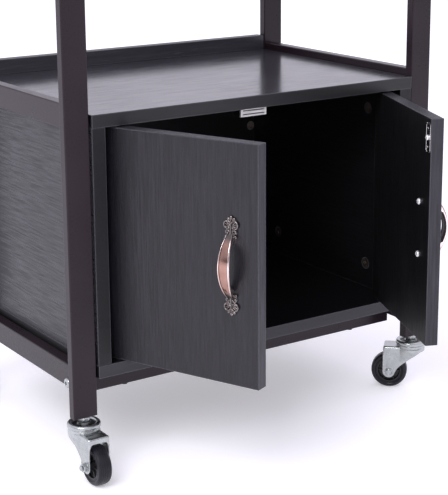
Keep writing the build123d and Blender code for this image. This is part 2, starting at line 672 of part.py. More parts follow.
# Doors. Local x runs along a door from its pivot to its free edge, and normal points
# into the cabinet. On a door's faces local y is up on the right door, down on the left.
def door(hand, side, opened_angle):
    angle = radians(opened_angle)
    along = (-side * cos(angle), -sin(angle), 0)
    hinge = Plane(origin=(side * pivot_x, pivot_y, 0), x_dir=along, z_dir=(0, 0, 1))
    normal = hinge.y_dir * -side
    inner_face = Plane(origin=hinge.origin + normal * (door_thickness / 2), x_dir=along, z_dir=normal)
    outer_face = Plane(origin=hinge.origin - normal * (door_thickness / 2), x_dir=along, z_dir=normal)
    profile = Plane(origin=outer_face.origin, x_dir=(0, 0, 1), z_dir=along)
    up = side
    away = -side
    middle_u = door_width / 2 - door_pivot_edge
    screw_spots = [(handle_u, up * (handle_z + end * handle_hole_spacing / 2)) for end in ends]

    with BuildPart() as panel:
        with BuildSketch(hinge.offset(door_z)):
            with Locations((middle_u, 0)):
                Rectangle(door_width, door_thickness)
        extrude(amount=door_height)
        fillet(panel.edges(), board_edge_radius)
        with BuildSketch(hinge.offset(door_z)):
            Circle(pivot_pin_radius)
        extrude(amount=pivot_pin_in_door, mode=Mode.SUBTRACT)
        with BuildSketch(hinge.offset(door_z + door_height)):
            Circle(pivot_pin_radius)
        extrude(amount=-pivot_pin_in_door, mode=Mode.SUBTRACT)
        with BuildSketch(outer_face):
            with Locations(screw_spots):
                Circle(handle_screw_radius + screw_hole_clearance)
        extrude(amount=door_thickness, mode=Mode.SUBTRACT)
        with BuildSketch(inner_face):
            with Locations((strike_u, up * strike_z)):
                Circle(strike_screw_radius)
        extrude(amount=-strike_screw_length, mode=Mode.SUBTRACT)
    panel.part.label = f"{hand}_door_panel"
    export_step(panel.part, f"parts/{hand}_door_panel.step")

    with BuildPart() as pins:
        for edge, out in ((door_z, -1), (door_z + door_height, 1)):
            with BuildSketch(hinge.offset(edge - out * pivot_pin_in_door)):
                Circle(pivot_pin_radius)
            extrude(amount=out * (pivot_pin_in_door + door_gap + pivot_pin_in_bush))
    pins.part.label = f"{hand}_door_pivot_pins"
    export_step(pins.part, f"parts/{hand}_door_pivot_pins.step")

    # The pull: a bowed strap that swells in the middle, on two scrolled leaf plates
    with BuildPart() as handle:
        with BuildSketch(profile.offset(handle_u - strap_width / 2)):
            with BuildLine():
                outer = ThreePointArc(
                    (handle_z - strap_foot_reach, away * strap_foot_height),
                    (handle_z, away * handle_projection),
                    (handle_z + strap_foot_reach, away * strap_foot_height),
                )
                inner = ThreePointArc(
                    (handle_z + finger_gap_reach, 0),
                    (handle_z, away * (handle_projection - strap_thickness)),
                    (handle_z - finger_gap_reach, 0),
                )
                Polyline(outer @ 1, (handle_z + strap_foot_reach, 0), inner @ 0)
                Polyline(inner @ 1, (handle_z - strap_foot_reach, 0), outer @ 0)
            make_face()
        extrude(amount=strap_width)
        with BuildSketch(outer_face):
            with BuildLine():
                near_side = ThreePointArc(
                    (handle_u - strap_neck_width / 2, up * (handle_z - strap_foot_reach)),
                    (handle_u - strap_width / 2, up * handle_z),
                    (handle_u - strap_neck_width / 2, up * (handle_z + strap_foot_reach)),
                )
                far_side = ThreePointArc(
                    (handle_u + strap_neck_width / 2, up * (handle_z + strap_foot_reach)),
                    (handle_u + strap_width / 2, up * handle_z),
                    (handle_u + strap_neck_width / 2, up * (handle_z - strap_foot_reach)),
                )
                Line(near_side @ 1, far_side @ 0)
                Line(far_side @ 1, near_side @ 0)
            make_face()
        extrude(amount=-handle_projection, mode=Mode.INTERSECT)
        with BuildSketch(outer_face):
            for end in ends:
                with Locations((handle_u, up * (handle_z + end * (bud_reach + palm_reach) / 2))):
                    Rectangle(rosette_stem_width, palm_reach - bud_reach)
                with Locations((handle_u, up * (handle_z + end * palm_reach))):
                    Circle(palm_radius)
                for flank in ends:
                    palm_side_z = handle_z + end * (palm_reach - palm_side_drop)
                    with Locations((handle_u + flank * palm_side_spread, up * palm_side_z)):
                        Circle(palm_side_radius)
                    with Locations((handle_u + flank * loop_spread, up * (handle_z + end * loop_reach))):
                        Circle(loop_radius)
                    with Locations((handle_u + flank * bud_spread, up * (handle_z + end * bud_reach))):
                        Circle(bud_radius)
        extrude(amount=-rosette_thickness)
        with BuildSketch(outer_face):
            with Locations(screw_spots):
                Circle(handle_screw_radius)
        extrude(amount=-handle_screw_bite, mode=Mode.SUBTRACT)
    handle.part.label = f"{hand}_handle"
    export_step(handle.part, f"parts/{hand}_handle.step")

    with BuildPart() as screws:
        with BuildSketch(inner_face):
            with Locations(screw_spots):
                Circle(handle_screw_head_radius)
        extrude(amount=handle_screw_head_height)
        with BuildSketch(inner_face):
            with Locations(screw_spots):
                Circle(handle_screw_radius)
        extrude(amount=-(door_thickness + handle_screw_bite))
        strike_top = inner_face.offset(strike_thickness)
        with BuildSketch(strike_top):
            with Locations((strike_u, up * strike_z)):
                Circle(strike_screw_head_radius)
        extrude(amount=strike_screw_head_height)
        with BuildSketch(strike_top):
            with Locations((strike_u, up * strike_z)):
                Circle(strike_screw_radius)
        extrude(amount=-(strike_thickness + strike_screw_length))
    screws.part.label = f"{hand}_door_screws"
    export_step(screws.part, f"parts/{hand}_door_screws.step")

    with BuildPart() as strike:
        with BuildSketch(inner_face):
            with Locations((strike_u, up * strike_z)):
                RectangleRounded(strike_width, strike_height, strike_corner)
                Circle(strike_screw_radius, mode=Mode.SUBTRACT)
        extrude(amount=strike_thickness)
    strike.part.label = f"{hand}_strike_plate"
    export_step(strike.part, f"parts/{hand}_strike_plate.step")


door("left", -1, left_door_angle)
door("right", 1, right_door_angle)


# Castors. The stem, its nut, the bearing cap and the balls stay with the post.
with BuildPart() as stems:
    for x, y, heading in corners.values():
        post_foot = Plane(origin=(x, y, 0))
        with BuildSketch(post_foot.offset(fork_crown_bottom - swivel_gap - kingpin_head_height)):
            Circle(kingpin_head_radius)
        extrude(amount=kingpin_head_height)
        with BuildSketch(post_foot.offset(fork_crown_bottom - swivel_gap)):
            Circle(kingpin_radius)
        extrude(amount=cap_floor + cap_gauge + swivel_gap - fork_crown_bottom)
        with BuildSketch(post_foot.offset(cap_floor + cap_gauge)):
            Circle(stem_collar_radius)
        extrude(amount=stem_collar_height)
        with BuildSketch(post_foot.offset(stem_nut_z)):
            RegularPolygon(stem_nut_across_flats / 2, 6, major_radius=False)
        extrude(amount=stem_nut_height)
        with BuildSketch(post_foot.offset(castor_height)):
            Circle(stem_radius)
        extrude(amount=stem_length)
stems.part.label = "castor_stems"
export_step(stems.part, "parts/castor_stems.step")

with BuildPart() as caps:
    for x, y, heading in corners.values():
        section = Plane(origin=(x, y, 0), x_dir=(1, 0, 0), z_dir=(0, -1, 0))
        skirt_bottom = fork_crown_top + crown_ring_height + swivel_gap
        skirt_top = skirt_bottom + cap_skirt_height
        with BuildSketch(section):
            with BuildLine():
                Polyline(
                    (kingpin_radius, cap_floor),
                    (kingpin_radius, cap_floor + cap_gauge),
                    (cap_mouth_radius - 2 * cap_gauge, cap_floor + cap_gauge),
                    (cap_mouth_radius - cap_gauge / 2, cap_top - cap_gauge / 4),
                    (cap_mouth_radius, cap_top),
                )
                TangentArc((cap_mouth_radius, cap_top), (cap_radius, skirt_top), tangent=(1, 0))
                Polyline(
                    (cap_radius, skirt_top),
                    (cap_radius, skirt_bottom),
                    (cap_radius - cap_gauge, skirt_bottom),
                    (cap_radius - cap_gauge, skirt_top - cap_gauge / 2),
                    (cap_mouth_radius + cap_gauge / 4, cap_top - cap_gauge),
                    (cap_mouth_radius - cap_gauge, cap_floor),
                    (kingpin_radius, cap_floor),
                )
            make_face()
        revolve(axis=Axis((x, y, 0), (0, 0, 1)))
caps.part.label = "castor_caps"
export_step(caps.part, "parts/castor_caps.step")

with BuildPart() as balls:
    for x, y, heading in corners.values():
        with Locations(Plane(origin=(x, y, fork_crown_top + swivel_gap + ball_radius))):
            with PolarLocations(ball_ring_radius, ball_count):
                Sphere(ball_radius)
balls.part.label = "castor_balls"
export_step(balls.part, "parts/castor_balls.step")


# The fork, axle and wheel swivel about the stem. Local x is the way the wheel trails.
def castor(corner, x, y, heading):
    trail = (cos(radians(heading)), sin(radians(heading)), 0)
    across = (sin(radians(heading)), -cos(radians(heading)), 0)
    level = Plane(origin=(x, y, 0), x_dir=trail, z_dir=(0, 0, 1))
    upright = Plane(origin=(x, y, 0), x_dir=trail, z_dir=across)
    axle_line = Axis((x + castor_trail * trail[0], y + castor_trail * trail[1], wheel_radius), across)
    # Cheek outline: upright front edge, round foot at the axle, a swept back edge
    fork_heel_z = fork_crown_top - fork_heel_drop
    foot_front = castor_trail + fork_foot_radius
    foot_slope = radians(fork_foot_angle)
    foot_low = (
        castor_trail + fork_foot_radius * sin(foot_slope),
        wheel_radius - fork_foot_radius * cos(foot_slope),
    )
    foot_back = (
        castor_trail - fork_foot_radius * sin(foot_slope),
        wheel_radius - fork_foot_radius * cos(foot_slope),
    )
    with BuildPart() as fork:
        with BuildSketch(upright.offset(-fork_half_width)):
            with BuildLine():
                Polyline(
                    (-fork_back_reach, fork_crown_top),
                    (fork_front_reach, fork_crown_top),
                    (foot_front, wheel_radius),
                )
                ThreePointArc((foot_front, wheel_radius), foot_low, foot_back)
                Spline(
                    foot_back,
                    (fork_waist_reach, wheel_radius + fork_waist_rise),
                    (-fork_back_reach, fork_heel_z),
                    tangents=[(-cos(foot_slope), sin(foot_slope)), (-0.3, 1)],
                )
                Line((-fork_back_reach, fork_heel_z), (-fork_back_reach, fork_crown_top))
            make_face()
        extrude(amount=2 * fork_half_width)
        crown_face = fork.faces().sort_by(Axis.Z)[-1]
        back_edge = crown_face.edges().sort_by(Axis((x, y, 0), trail))[0]
        fillet(crown_face.edges() - [back_edge], fork_bend_radius)
        with BuildSketch(upright.offset(-fork_inner_width / 2)):
            with BuildLine():
                Polyline(
                    (-2 * fork_back_reach, 0),
                    (2 * fork_front_reach, 0),
                    (2 * fork_front_reach, fork_crown_bottom - fork_lip_depth),
                    (fork_front_reach - fork_gauge, fork_crown_bottom - fork_lip_depth),
                    (fork_front_reach - fork_gauge, fork_crown_bottom),
                    (-2 * fork_back_reach, fork_crown_bottom),
                    (-2 * fork_back_reach, 0),
                )
            make_face()
        extrude(amount=fork_inner_width, mode=Mode.SUBTRACT)
        with BuildSketch(level.offset(fork_crown_bottom)):
            Circle(fork_crown_radius)
        extrude(amount=fork_gauge)
        with BuildSketch(level.offset(fork_crown_bottom)):
            Circle(kingpin_radius + kingpin_fit)
        extrude(amount=fork_gauge, mode=Mode.SUBTRACT)
        with BuildSketch(level.offset(fork_crown_top)):
            Circle(crown_ring_radius)
            Circle(crown_ring_radius - crown_ring_gauge, mode=Mode.SUBTRACT)
        extrude(amount=crown_ring_height)
        with BuildSketch(upright.offset(-fork_half_width)):
            with Locations((castor_trail, wheel_radius)):
                Circle(axle_radius)
        extrude(amount=2 * fork_half_width, mode=Mode.SUBTRACT)
    fork.part.label = f"castor_{corner}_fork"
    export_step(fork.part, f"parts/castor_{corner}_fork.step")

    with BuildPart() as axle:
        with BuildSketch(upright.offset(-fork_half_width)):
            with Locations((castor_trail, wheel_radius)):
                Circle(axle_head_radius)
        extrude(amount=-axle_head_height)
        fillet(axle.faces().sort_by(axle_line)[0].edges(), axle_head_round)
        with BuildSketch(upright.offset(-fork_half_width)):
            with Locations((castor_trail, wheel_radius)):
                Circle(axle_radius)
        extrude(amount=2 * fork_half_width + axle_nut_height + axle_tip)
        with BuildSketch(upright.offset(fork_half_width)):
            with Locations((castor_trail, wheel_radius)):
                RegularPolygon(axle_nut_across_flats / 2, 6, major_radius=False)
        extrude(amount=axle_nut_height)
    axle.part.label = f"castor_{corner}_axle"
    export_step(axle.part, f"parts/castor_{corner}_axle.step")

    radial = Plane(origin=axle_line.position, x_dir=across, z_dir=trail)
    with BuildPart() as hub:
        with BuildSketch(radial):
            with BuildLine():
                Polyline(
                    (-hub_boss_width / 2, axle_radius + axle_fit),
                    (-hub_boss_width / 2, hub_boss_radius),
                    (-hub_web_width / 2, hub_boss_radius + hub_draft),
                    (-hub_web_width / 2, hub_radius - hub_rim_thickness - hub_draft),
                    (-hub_width / 2, hub_radius - hub_rim_thickness),
                    (-hub_width / 2, hub_radius),
                    (hub_width / 2, hub_radius),
                    (hub_width / 2, hub_radius - hub_rim_thickness),
                    (hub_web_width / 2, hub_radius - hub_rim_thickness - hub_draft),
                    (hub_web_width / 2, hub_boss_radius + hub_draft),
                    (hub_boss_width / 2, hub_boss_radius),
                    (hub_boss_width / 2, axle_radius + axle_fit),
                    close=True,
                )
            make_face()
        revolve(axis=axle_line)
    hub.part.label = f"castor_{corner}_hub"
    export_step(hub.part, f"parts/castor_{corner}_hub.step")

    with BuildPart() as tyre:
        with BuildSketch(radial):
            with Locations((0, (hub_radius + wheel_radius) / 2)):
                Rectangle(tyre_width, wheel_radius - hub_radius)
            fillet(vertices().group_by(Axis.Y)[-1], tyre_edge_radius)
        revolve(axis=axle_line)
    tyre.part.label = f"castor_{corner}_tyre"
    export_step(tyre.part, f"parts/castor_{corner}_tyre.step")


for corner, (x, y, heading) in corners.items():
    castor(corner, x, y, heading)
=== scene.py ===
import json
import math

import bmesh
import bpy
from mathutils import Matrix, Vector


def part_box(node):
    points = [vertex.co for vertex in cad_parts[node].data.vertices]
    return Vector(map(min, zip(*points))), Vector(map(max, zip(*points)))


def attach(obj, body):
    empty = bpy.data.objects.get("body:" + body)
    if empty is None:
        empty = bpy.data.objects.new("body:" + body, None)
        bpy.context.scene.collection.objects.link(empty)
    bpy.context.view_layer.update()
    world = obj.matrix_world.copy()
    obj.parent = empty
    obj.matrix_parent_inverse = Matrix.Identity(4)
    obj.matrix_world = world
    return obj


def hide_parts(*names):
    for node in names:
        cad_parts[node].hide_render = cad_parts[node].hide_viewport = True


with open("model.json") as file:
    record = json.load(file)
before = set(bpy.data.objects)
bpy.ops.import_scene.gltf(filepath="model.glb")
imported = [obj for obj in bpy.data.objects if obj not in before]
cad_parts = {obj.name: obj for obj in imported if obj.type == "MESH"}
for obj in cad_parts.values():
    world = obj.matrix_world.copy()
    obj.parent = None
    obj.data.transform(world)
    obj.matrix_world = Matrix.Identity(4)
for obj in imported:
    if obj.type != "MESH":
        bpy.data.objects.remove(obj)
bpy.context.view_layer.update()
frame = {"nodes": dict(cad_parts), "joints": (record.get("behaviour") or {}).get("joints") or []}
nodes = frame["nodes"]
joints = {joint["name"]: joint for joint in frame["joints"]}

# The frame is in metres. Shapes are drawn in millimetres and scaled by shaped().
MM = 0.001
UP = Vector((0, 0, 1))
HANDS = {"left": -1, "right": 1}
ENDS = (-1, 1)


def door_outward(hand):
    """The way the outer face of a door looks, as a unit vector."""
    side = HANDS[hand]
    opened = math.radians(-joints[f"{hand}_door_hinge"]["range_deg"][0])
    return Vector((side * math.sin(opened), -math.cos(opened), 0))


# Shader trees
def add(tree, kind, inputs=None, **settings):
    """Adds a shader node, sets its properties, and fills or links its inputs."""
    made = tree.nodes.new("ShaderNode" + kind)
    for key, value in settings.items():
        setattr(made, key, value)
    for key, value in (inputs or {}).items():
        if isinstance(value, bpy.types.NodeSocket):
            tree.links.new(value, made.inputs[key])
        else:
            made.inputs[key].default_value = value
    return made


def start_material(name, **shader_values):
    """A material whose Principled shader has the given plain values."""
    made = bpy.data.materials.new(name)
    made.use_nodes = True
    tree = made.node_tree
    shader = tree.nodes["Principled BSDF"]
    for key, value in shader_values.items():
        shader.inputs[key.replace("_", " ")].default_value = value
    return made, tree, shader


def object_coords(tree, scale=(1, 1, 1)):
    """Places on the object, in metres, stretched by scale."""
    place = add(tree, "TexCoord").outputs["Object"]
    return add(tree, "Mapping", {"Vector": place, "Scale": scale}).outputs["Vector"]


def noise(tree, vector, scale, detail=4.0, roughness=0.5):
    inputs = {"Vector": vector, "Scale": scale, "Detail": detail, "Roughness": roughness}
    return add(tree, "TexNoise", inputs).outputs["Fac"]


def span(tree, factor, low, high, from_low=0.3, from_high=0.7):
    """Maps from_low to from_high, where most of a noise lies, to low to high, clamped."""
    inputs = {0: factor, 1: from_low, 2: from_high, 3: low, 4: high}
    return add(tree, "MapRange", inputs).outputs[0]


def ramp(tree, factor, *stops):
    """A colour ramp through (position, colour) stops."""
    made = add(tree, "ValToRGB", {"Fac": factor})
    elements = made.color_ramp.elements
    while len(elements) < len(stops):
        elements.new(0.5)
    for element, (position, colour) in zip(elements, stops):
        element.position = position
        element.color = (*colour, 1)
    return made.outputs["Color"]


def mix(tree, factor, first, second):
    inputs = {"Fac": factor, "Color1": first, "Color2": second}
    return add(tree, "MixRGB", inputs).outputs["Color"]


def math_node(tree, operation, first, second):
    return add(tree, "Math", {0: first, 1: second}, operation=operation).outputs[0]


def total(tree, first, *others):
    for other in others:
        first = math_node(tree, "ADD", first, other)
    return first


def product(tree, first, second):
    return math_node(tree, "MULTIPLY", first, second)


def cosine(tree, first, second):
    """The dot product of two directions."""
    inputs = {0: first, 1: second}
    return add(tree, "VectorMath", inputs, operation="DOT_PRODUCT").outputs["Value"]


def set_bump(tree, shader, height, depth):
    inputs = {"Height": height, "Distance": depth, "Strength": 1.0}
    tree.links.new(add(tree, "Bump", inputs).outputs["Normal"], shader.inputs["Normal"])


def link(tree, output, shader, name):
    tree.links.new(output, shader.inputs[name])


# Materials. Colours are linear red, green and blue, and a pair of numbers is a range.
# Noise scales are per metre, and depths of relief are in millimetres.
# Arrises are lightened, partly as wear and partly as a painted highlight; this is the range of
# cosines over which the lightening fades in
ARRIS_WEAR_AND_HIGHLIGHT_RANGE = (0.84, 0.995)
LAMINATE_STOPS = (
    (0.34, (0.0115, 0.0110, 0.0142)),
    (0.50, (0.0165, 0.0158, 0.0200)),
    (0.66, (0.0240, 0.0230, 0.0280)),
)
# Painted shade: the share of its colour that the side of a laminate facing away keeps
LAMINATE_PAINTED_SHADE = 0.28
# The lighter arris colour of laminate, partly wear and partly a painted highlight, and its reach in
# millimetres
LAMINATE_WEAR_AND_HIGHLIGHT = (0.150, 0.148, 0.170, 1)
LAMINATE_WEAR_AND_HIGHLIGHT_REACH = 2.0
LAMINATE_ROUGHNESS = (0.22, 0.27)
EXTRA_ROUGHNESS_OF_SIDES = 0.16
EXTRA_ROUGHNESS_OF_STREAKS = 0.25
GRAIN_STRETCH = 0.035
PORES = {"scale": 1100, "detail": 3, "roughness": 0.6}
BANDS = {"scale": 170, "detail": 5, "roughness": 0.6}
STREAKS = {"scale": 560, "detail": 5, "roughness": 0.65}
STREAK_NOISE_RANGE = (0.38, 0.58)
PORE_SHARE = 0.45
BAND_SHARE = 0.55
LAMINATE_CLOUD = {"scale": 9, "detail": 2}
LEAST_WEAR_AND_HIGHLIGHT = 0.55
CLOUD_ROUGHNESS = (-0.02, 0.03)
# Cosines between a side and the way its panel faces, over which a laminate's painted light and
# shade fade in
FACING = (0.55, 0.90)
FACING_AWAY = (-0.90, -0.55)
PAINT_STOPS = ((0.35, (0.0118, 0.0062, 0.0094)), (0.68, (0.0170, 0.0094, 0.0138)))
# The lighter arris colour of the paint, partly wear and partly a painted highlight, and its reach
# in millimetres
PAINT_WEAR_AND_HIGHLIGHT = (0.080, 0.070, 0.086, 1)
PAINT_WEAR_AND_HIGHLIGHT_REACH = 1.2
PAINT_ROUGHNESS = (0.26, 0.34)
PAINT_RELIEF = 0.010
PAINT_CLOUD = {"scale": 14, "detail": 3}
PAINT_PEEL = {"scale": 1500, "detail": 2}
PAINT_SPECK = {"scale": 420, "detail": 3, "roughness": 0.6}
PLATED_RELIEF = 0.012
PLATED_MOTTLE = {"scale": 90, "detail": 4, "roughness": 0.6}
COPPER_GRIP_STOPS = (
    (0.44, (0.060, 0.032, 0.027)),
    (0.490, (0.280, 0.160, 0.128)),
    (0.515, (0.450, 0.275, 0.222)),
    (0.550, (0.930, 0.830, 0.810)),
)
COPPER_ORNAMENT_STOPS = (
    (0.43, (0.012, 0.010, 0.010)),
    (0.49, (0.066, 0.056, 0.053)),
    (0.535, (0.260, 0.232, 0.222)),
    (0.585, (0.900, 0.830, 0.810)),
)
COPPER_EDGE_SHIFT = (-0.006, 0.006)
COPPER_ROUGHNESS = (0.13, 0.21)
COPPER_RELIEF = 0.010
COPPER_BLOTCHES = {"scale": 110, "detail": 3, "roughness": 0.5}
COPPER_PITS = {"scale": 900, "detail": 3}
# In metres: the middle of a pull, and how far above and below it the grip ends
PULL_MIDDLE_HEIGHT = 0.2835
GRIP_ENDS = (0.027, 0.034)
MOULDED_RELIEF = 0.015
MOULDED_CLOUD = {"scale": 60, "detail": 4, "roughness": 0.6}
FLOOR_STOPS = ((0.3, (0.90, 0.885, 0.935)), (0.7, (0.92, 0.905, 0.955)))
FLOOR_ROUGHNESS = 0.9
FLOOR_GLOW = 0.30
FLOOR_CLOUD = {"scale": 1.5, "detail": 2}


# Mask for lighter arrises, partly wear and partly a painted highlight
def wear_and_highlight_arris(tree, reach):
    """A mask that rises from 0 on flat faces to 1 along sharp edges."""
    rounded = add(tree, "Bevel", {"Radius": reach}, samples=6).outputs["Normal"]
    plain = add(tree, "NewGeometry").outputs["Normal"]
    return span(tree, cosine(tree, rounded, plain), 1, 0, *ARRIS_WEAR_AND_HIGHLIGHT_RANGE)


def laminate(
    name, grain_axis, face, relief=0.010, edge=LAMINATE_PAINTED_SHADE, streak=0.0, tone=1.0, gloss=0.0,
    ior=1.42,
):
    """Black wood-grain laminate, its grain along one axis of the object.

    The side that looks towards face keeps the full colour and the side facing away is
    darkened as painted shade. edge is the brightness of the edge banding, the sides
    between them: above 1 it is painted light, below 1 painted shade. streak is how dark
    the coarse grain lines are, tone scales the colours, as painted light on the whole
    board above 1 and painted shade below 1, and gloss is taken off the roughness of the
    side that looks towards face. The arrises are lighter, partly from wear and partly as
    a painted highlight.
    """
    made, tree, shader = start_material(name, IOR=ior)
    stretch = [1.0, 1.0, 1.0]
    stretch[grain_axis] = GRAIN_STRETCH
    vector = object_coords(tree, stretch)
    pores = product(tree, noise(tree, vector, **PORES), PORE_SHARE)
    bands = product(tree, noise(tree, vector, **BANDS), BAND_SHARE)
    grain = total(tree, pores, bands)
    cloud = noise(tree, object_coords(tree), **LAMINATE_CLOUD)
    towards = cosine(tree, add(tree, "TexCoord").outputs["Normal"], face)
    lines = span(tree, noise(tree, vector, **STREAKS), 1.0 - streak, 1.0, *STREAK_NOISE_RANGE)

    # tone scales every colour of the board: above 1 it is painted light, below 1 painted shade
    stops = [(place, tuple(value * tone for value in stop)) for place, stop in LAMINATE_STOPS]
    # Painted light and shade by facing: full colour towards face, painted shade on the side away,
    # the edge scale on the sides between
    bright = total(
        tree,
        span(tree, towards, LAMINATE_PAINTED_SHADE, edge, *FACING_AWAY),
        span(tree, towards, 0.0, 1.0 - edge, *FACING),
    )
    scaled = {0: ramp(tree, grain, *stops), "Scale": product(tree, bright, lines)}
    colour = add(tree, "VectorMath", scaled, operation="SCALE").outputs["Vector"]
    # Lighter arrises: partly wear, partly a painted highlight
    arris = wear_and_highlight_arris(tree, LAMINATE_WEAR_AND_HIGHLIGHT_REACH * MM)
    wear_and_highlight = product(tree, arris, span(tree, cloud, LEAST_WEAR_AND_HIGHLIGHT, 1.0))
    link(tree, mix(tree, wear_and_highlight, colour, LAMINATE_WEAR_AND_HIGHLIGHT), shader, "Base Color")

    rough = total(
        tree,
        span(tree, grain, *LAMINATE_ROUGHNESS),
        span(tree, cloud, *CLOUD_ROUGHNESS),
        span(tree, towards, EXTRA_ROUGHNESS_OF_SIDES, -gloss, *FACING),
        span(tree, lines, EXTRA_ROUGHNESS_OF_STREAKS, 0.0, 0.4, 1.0),
    )
    link(tree, rough, shader, "Roughness")
    set_bump(tree, shader, grain, relief * MM)
    return made


def paint():
    """Dark brown-black powder coat: a fine orange peel with faint clouds."""
    made, tree, shader = start_material("powder_coat", IOR=1.35)
    vector = object_coords(tree)
    cloud = noise(tree, vector, **PAINT_CLOUD)
    peel = noise(tree, vector, **PAINT_PEEL)
    speck = noise(tree, vector, **PAINT_SPECK)
    colour = ramp(tree, cloud, *PAINT_STOPS)
    # Lighter arrises: partly wear, partly a painted highlight
    colour = mix(tree, wear_and_highlight_arris(tree, PAINT_WEAR_AND_HIGHLIGHT_REACH * MM), colour, PAINT_WEAR_AND_HIGHLIGHT)
    link(tree, colour, shader, "Base Color")
    rough = total(tree, span(tree, speck, *PAINT_ROUGHNESS), span(tree, cloud, *CLOUD_ROUGHNESS))
    link(tree, rough, shader, "Roughness")
    set_bump(tree, shader, peel, PAINT_RELIEF * MM)
    return made


def plated(name, colours, roughness, grain_scale=700, metallic=1.0):
    """Plated or bare metal, with a mottled finish and fine scratches."""
    made, tree, shader = start_material(name, Metallic=metallic)
    mottle = noise(tree, object_coords(tree), **PLATED_MOTTLE)
    fine = noise(tree, object_coords(tree), grain_scale, 3, 0.6)
    colour = ramp(tree, mottle, *zip((0.3, 0.7), colours))
    link(tree, colour, shader, "Base Color")
    both = total(tree, product(tree, mottle, 0.5), product(tree, fine, 0.5))
    link(tree, span(tree, both, *roughness, 0.35, 0.65), shader, "Roughness")
    set_bump(tree, shader, fine, PLATED_RELIEF * MM)
    return made


def antique_copper():
    """Aged copper: dark in the hollows, rubbed silvery on the raised rims."""
    made, tree, shader = start_material("aged_copper", Metallic=1.0)
    vector = object_coords(tree)
    raised = add(tree, "NewGeometry").outputs["Pointiness"]
    blotch = noise(tree, vector, **COPPER_BLOTCHES)
    rubbed = total(tree, raised, span(tree, blotch, *COPPER_EDGE_SHIFT))
    grip = ramp(tree, rubbed, *COPPER_GRIP_STOPS)
    ornament = ramp(tree, rubbed, *COPPER_ORNAMENT_STOPS)
    height = add(tree, "SeparateXYZ", {0: vector}).outputs["Z"]
    above_middle = math_node(tree, "SUBTRACT", height, PULL_MIDDLE_HEIGHT)
    from_middle = math_node(tree, "ABSOLUTE", above_middle, 0)
    colour = mix(tree, span(tree, from_middle, 0, 1, *GRIP_ENDS), grip, ornament)
    link(tree, colour, shader, "Base Color")
    link(tree, span(tree, blotch, *COPPER_ROUGHNESS), shader, "Roughness")
    set_bump(tree, shader, noise(tree, vector, **COPPER_PITS), COPPER_RELIEF * MM)
    return made


def moulded(name, colours, roughness, peel_scale=900, ior=1.45):
    """Moulded plastic or rubber with a matt, slightly uneven skin."""
    made, tree, shader = start_material(name, IOR=ior)
    vector = object_coords(tree)
    cloud = noise(tree, vector, **MOULDED_CLOUD)
    colour = ramp(tree, cloud, *zip((0.3, 0.7), colours))
    link(tree, colour, shader, "Base Color")
    link(tree, span(tree, cloud, *roughness), shader, "Roughness")
    set_bump(tree, shader, noise(tree, vector, peel_scale, 3), MOULDED_RELIEF * MM)
    return made


def floor_material():
    made, tree, shader = start_material("pale_floor", Roughness=FLOOR_ROUGHNESS)
    shader.inputs["Emission Color"].default_value = (1.0, 1.0, 1.0, 1)
    shader.inputs["Emission Strength"].default_value = FLOOR_GLOW
    cloud = noise(tree, object_coords(tree), **FLOOR_CLOUD)
    link(tree, ramp(tree, cloud, *FLOOR_STOPS), shader, "Base Color")
    return made


SKY = (0, 0, 1)
DOOR_SIDE = (0, -1, 0)
# Painted light and shade set per board: the flat boards are brightened twofold and their edges
# darkened to a tenth, the doors darkened to 0.72 with their edges lightened 2.3 times, and the side
# panels' edges keep the painted shade of the side facing away
FLAT_BOARD = {
    "relief": 0.004, "edge": 0.1, "streak": 0.2, "tone": 2.0, "gloss": 0.10, "ior": 1.52,
}
SIDE_PANEL = {"relief": 0.026, "streak": 0.44}
DOOR_PANEL = {"edge": 2.3, "streak": 0.38, "tone": 0.72}
LAMINATES = {
    "tray_board": laminate("laminate_tray", 0, SKY, **FLAT_BOARD),
    "bottom_board": laminate("laminate_floor", 0, DOOR_SIDE),
    "worktop": laminate("laminate_worktop", 0, SKY, **FLAT_BOARD),
    # The rim is brightened twofold as painted light
    "tray_back_rim": laminate("laminate_rim", 0, DOOR_SIDE, tone=2.0),
    "back_panel": laminate("laminate_back", 0, (0, 1, 0)),
    "side_panel_left": laminate("laminate_left_side", 1, (-1, 0, 0), **SIDE_PANEL),
    "side_panel_right": laminate("laminate_right_side", 1, (1, 0, 0), **SIDE_PANEL),
    "left_door_panel": laminate("laminate_left_door", 2, door_outward("left"), **DOOR_PANEL),
    "right_door_panel": laminate("laminate_right_door", 2, door_outward("right"), **DOOR_PANEL),
}
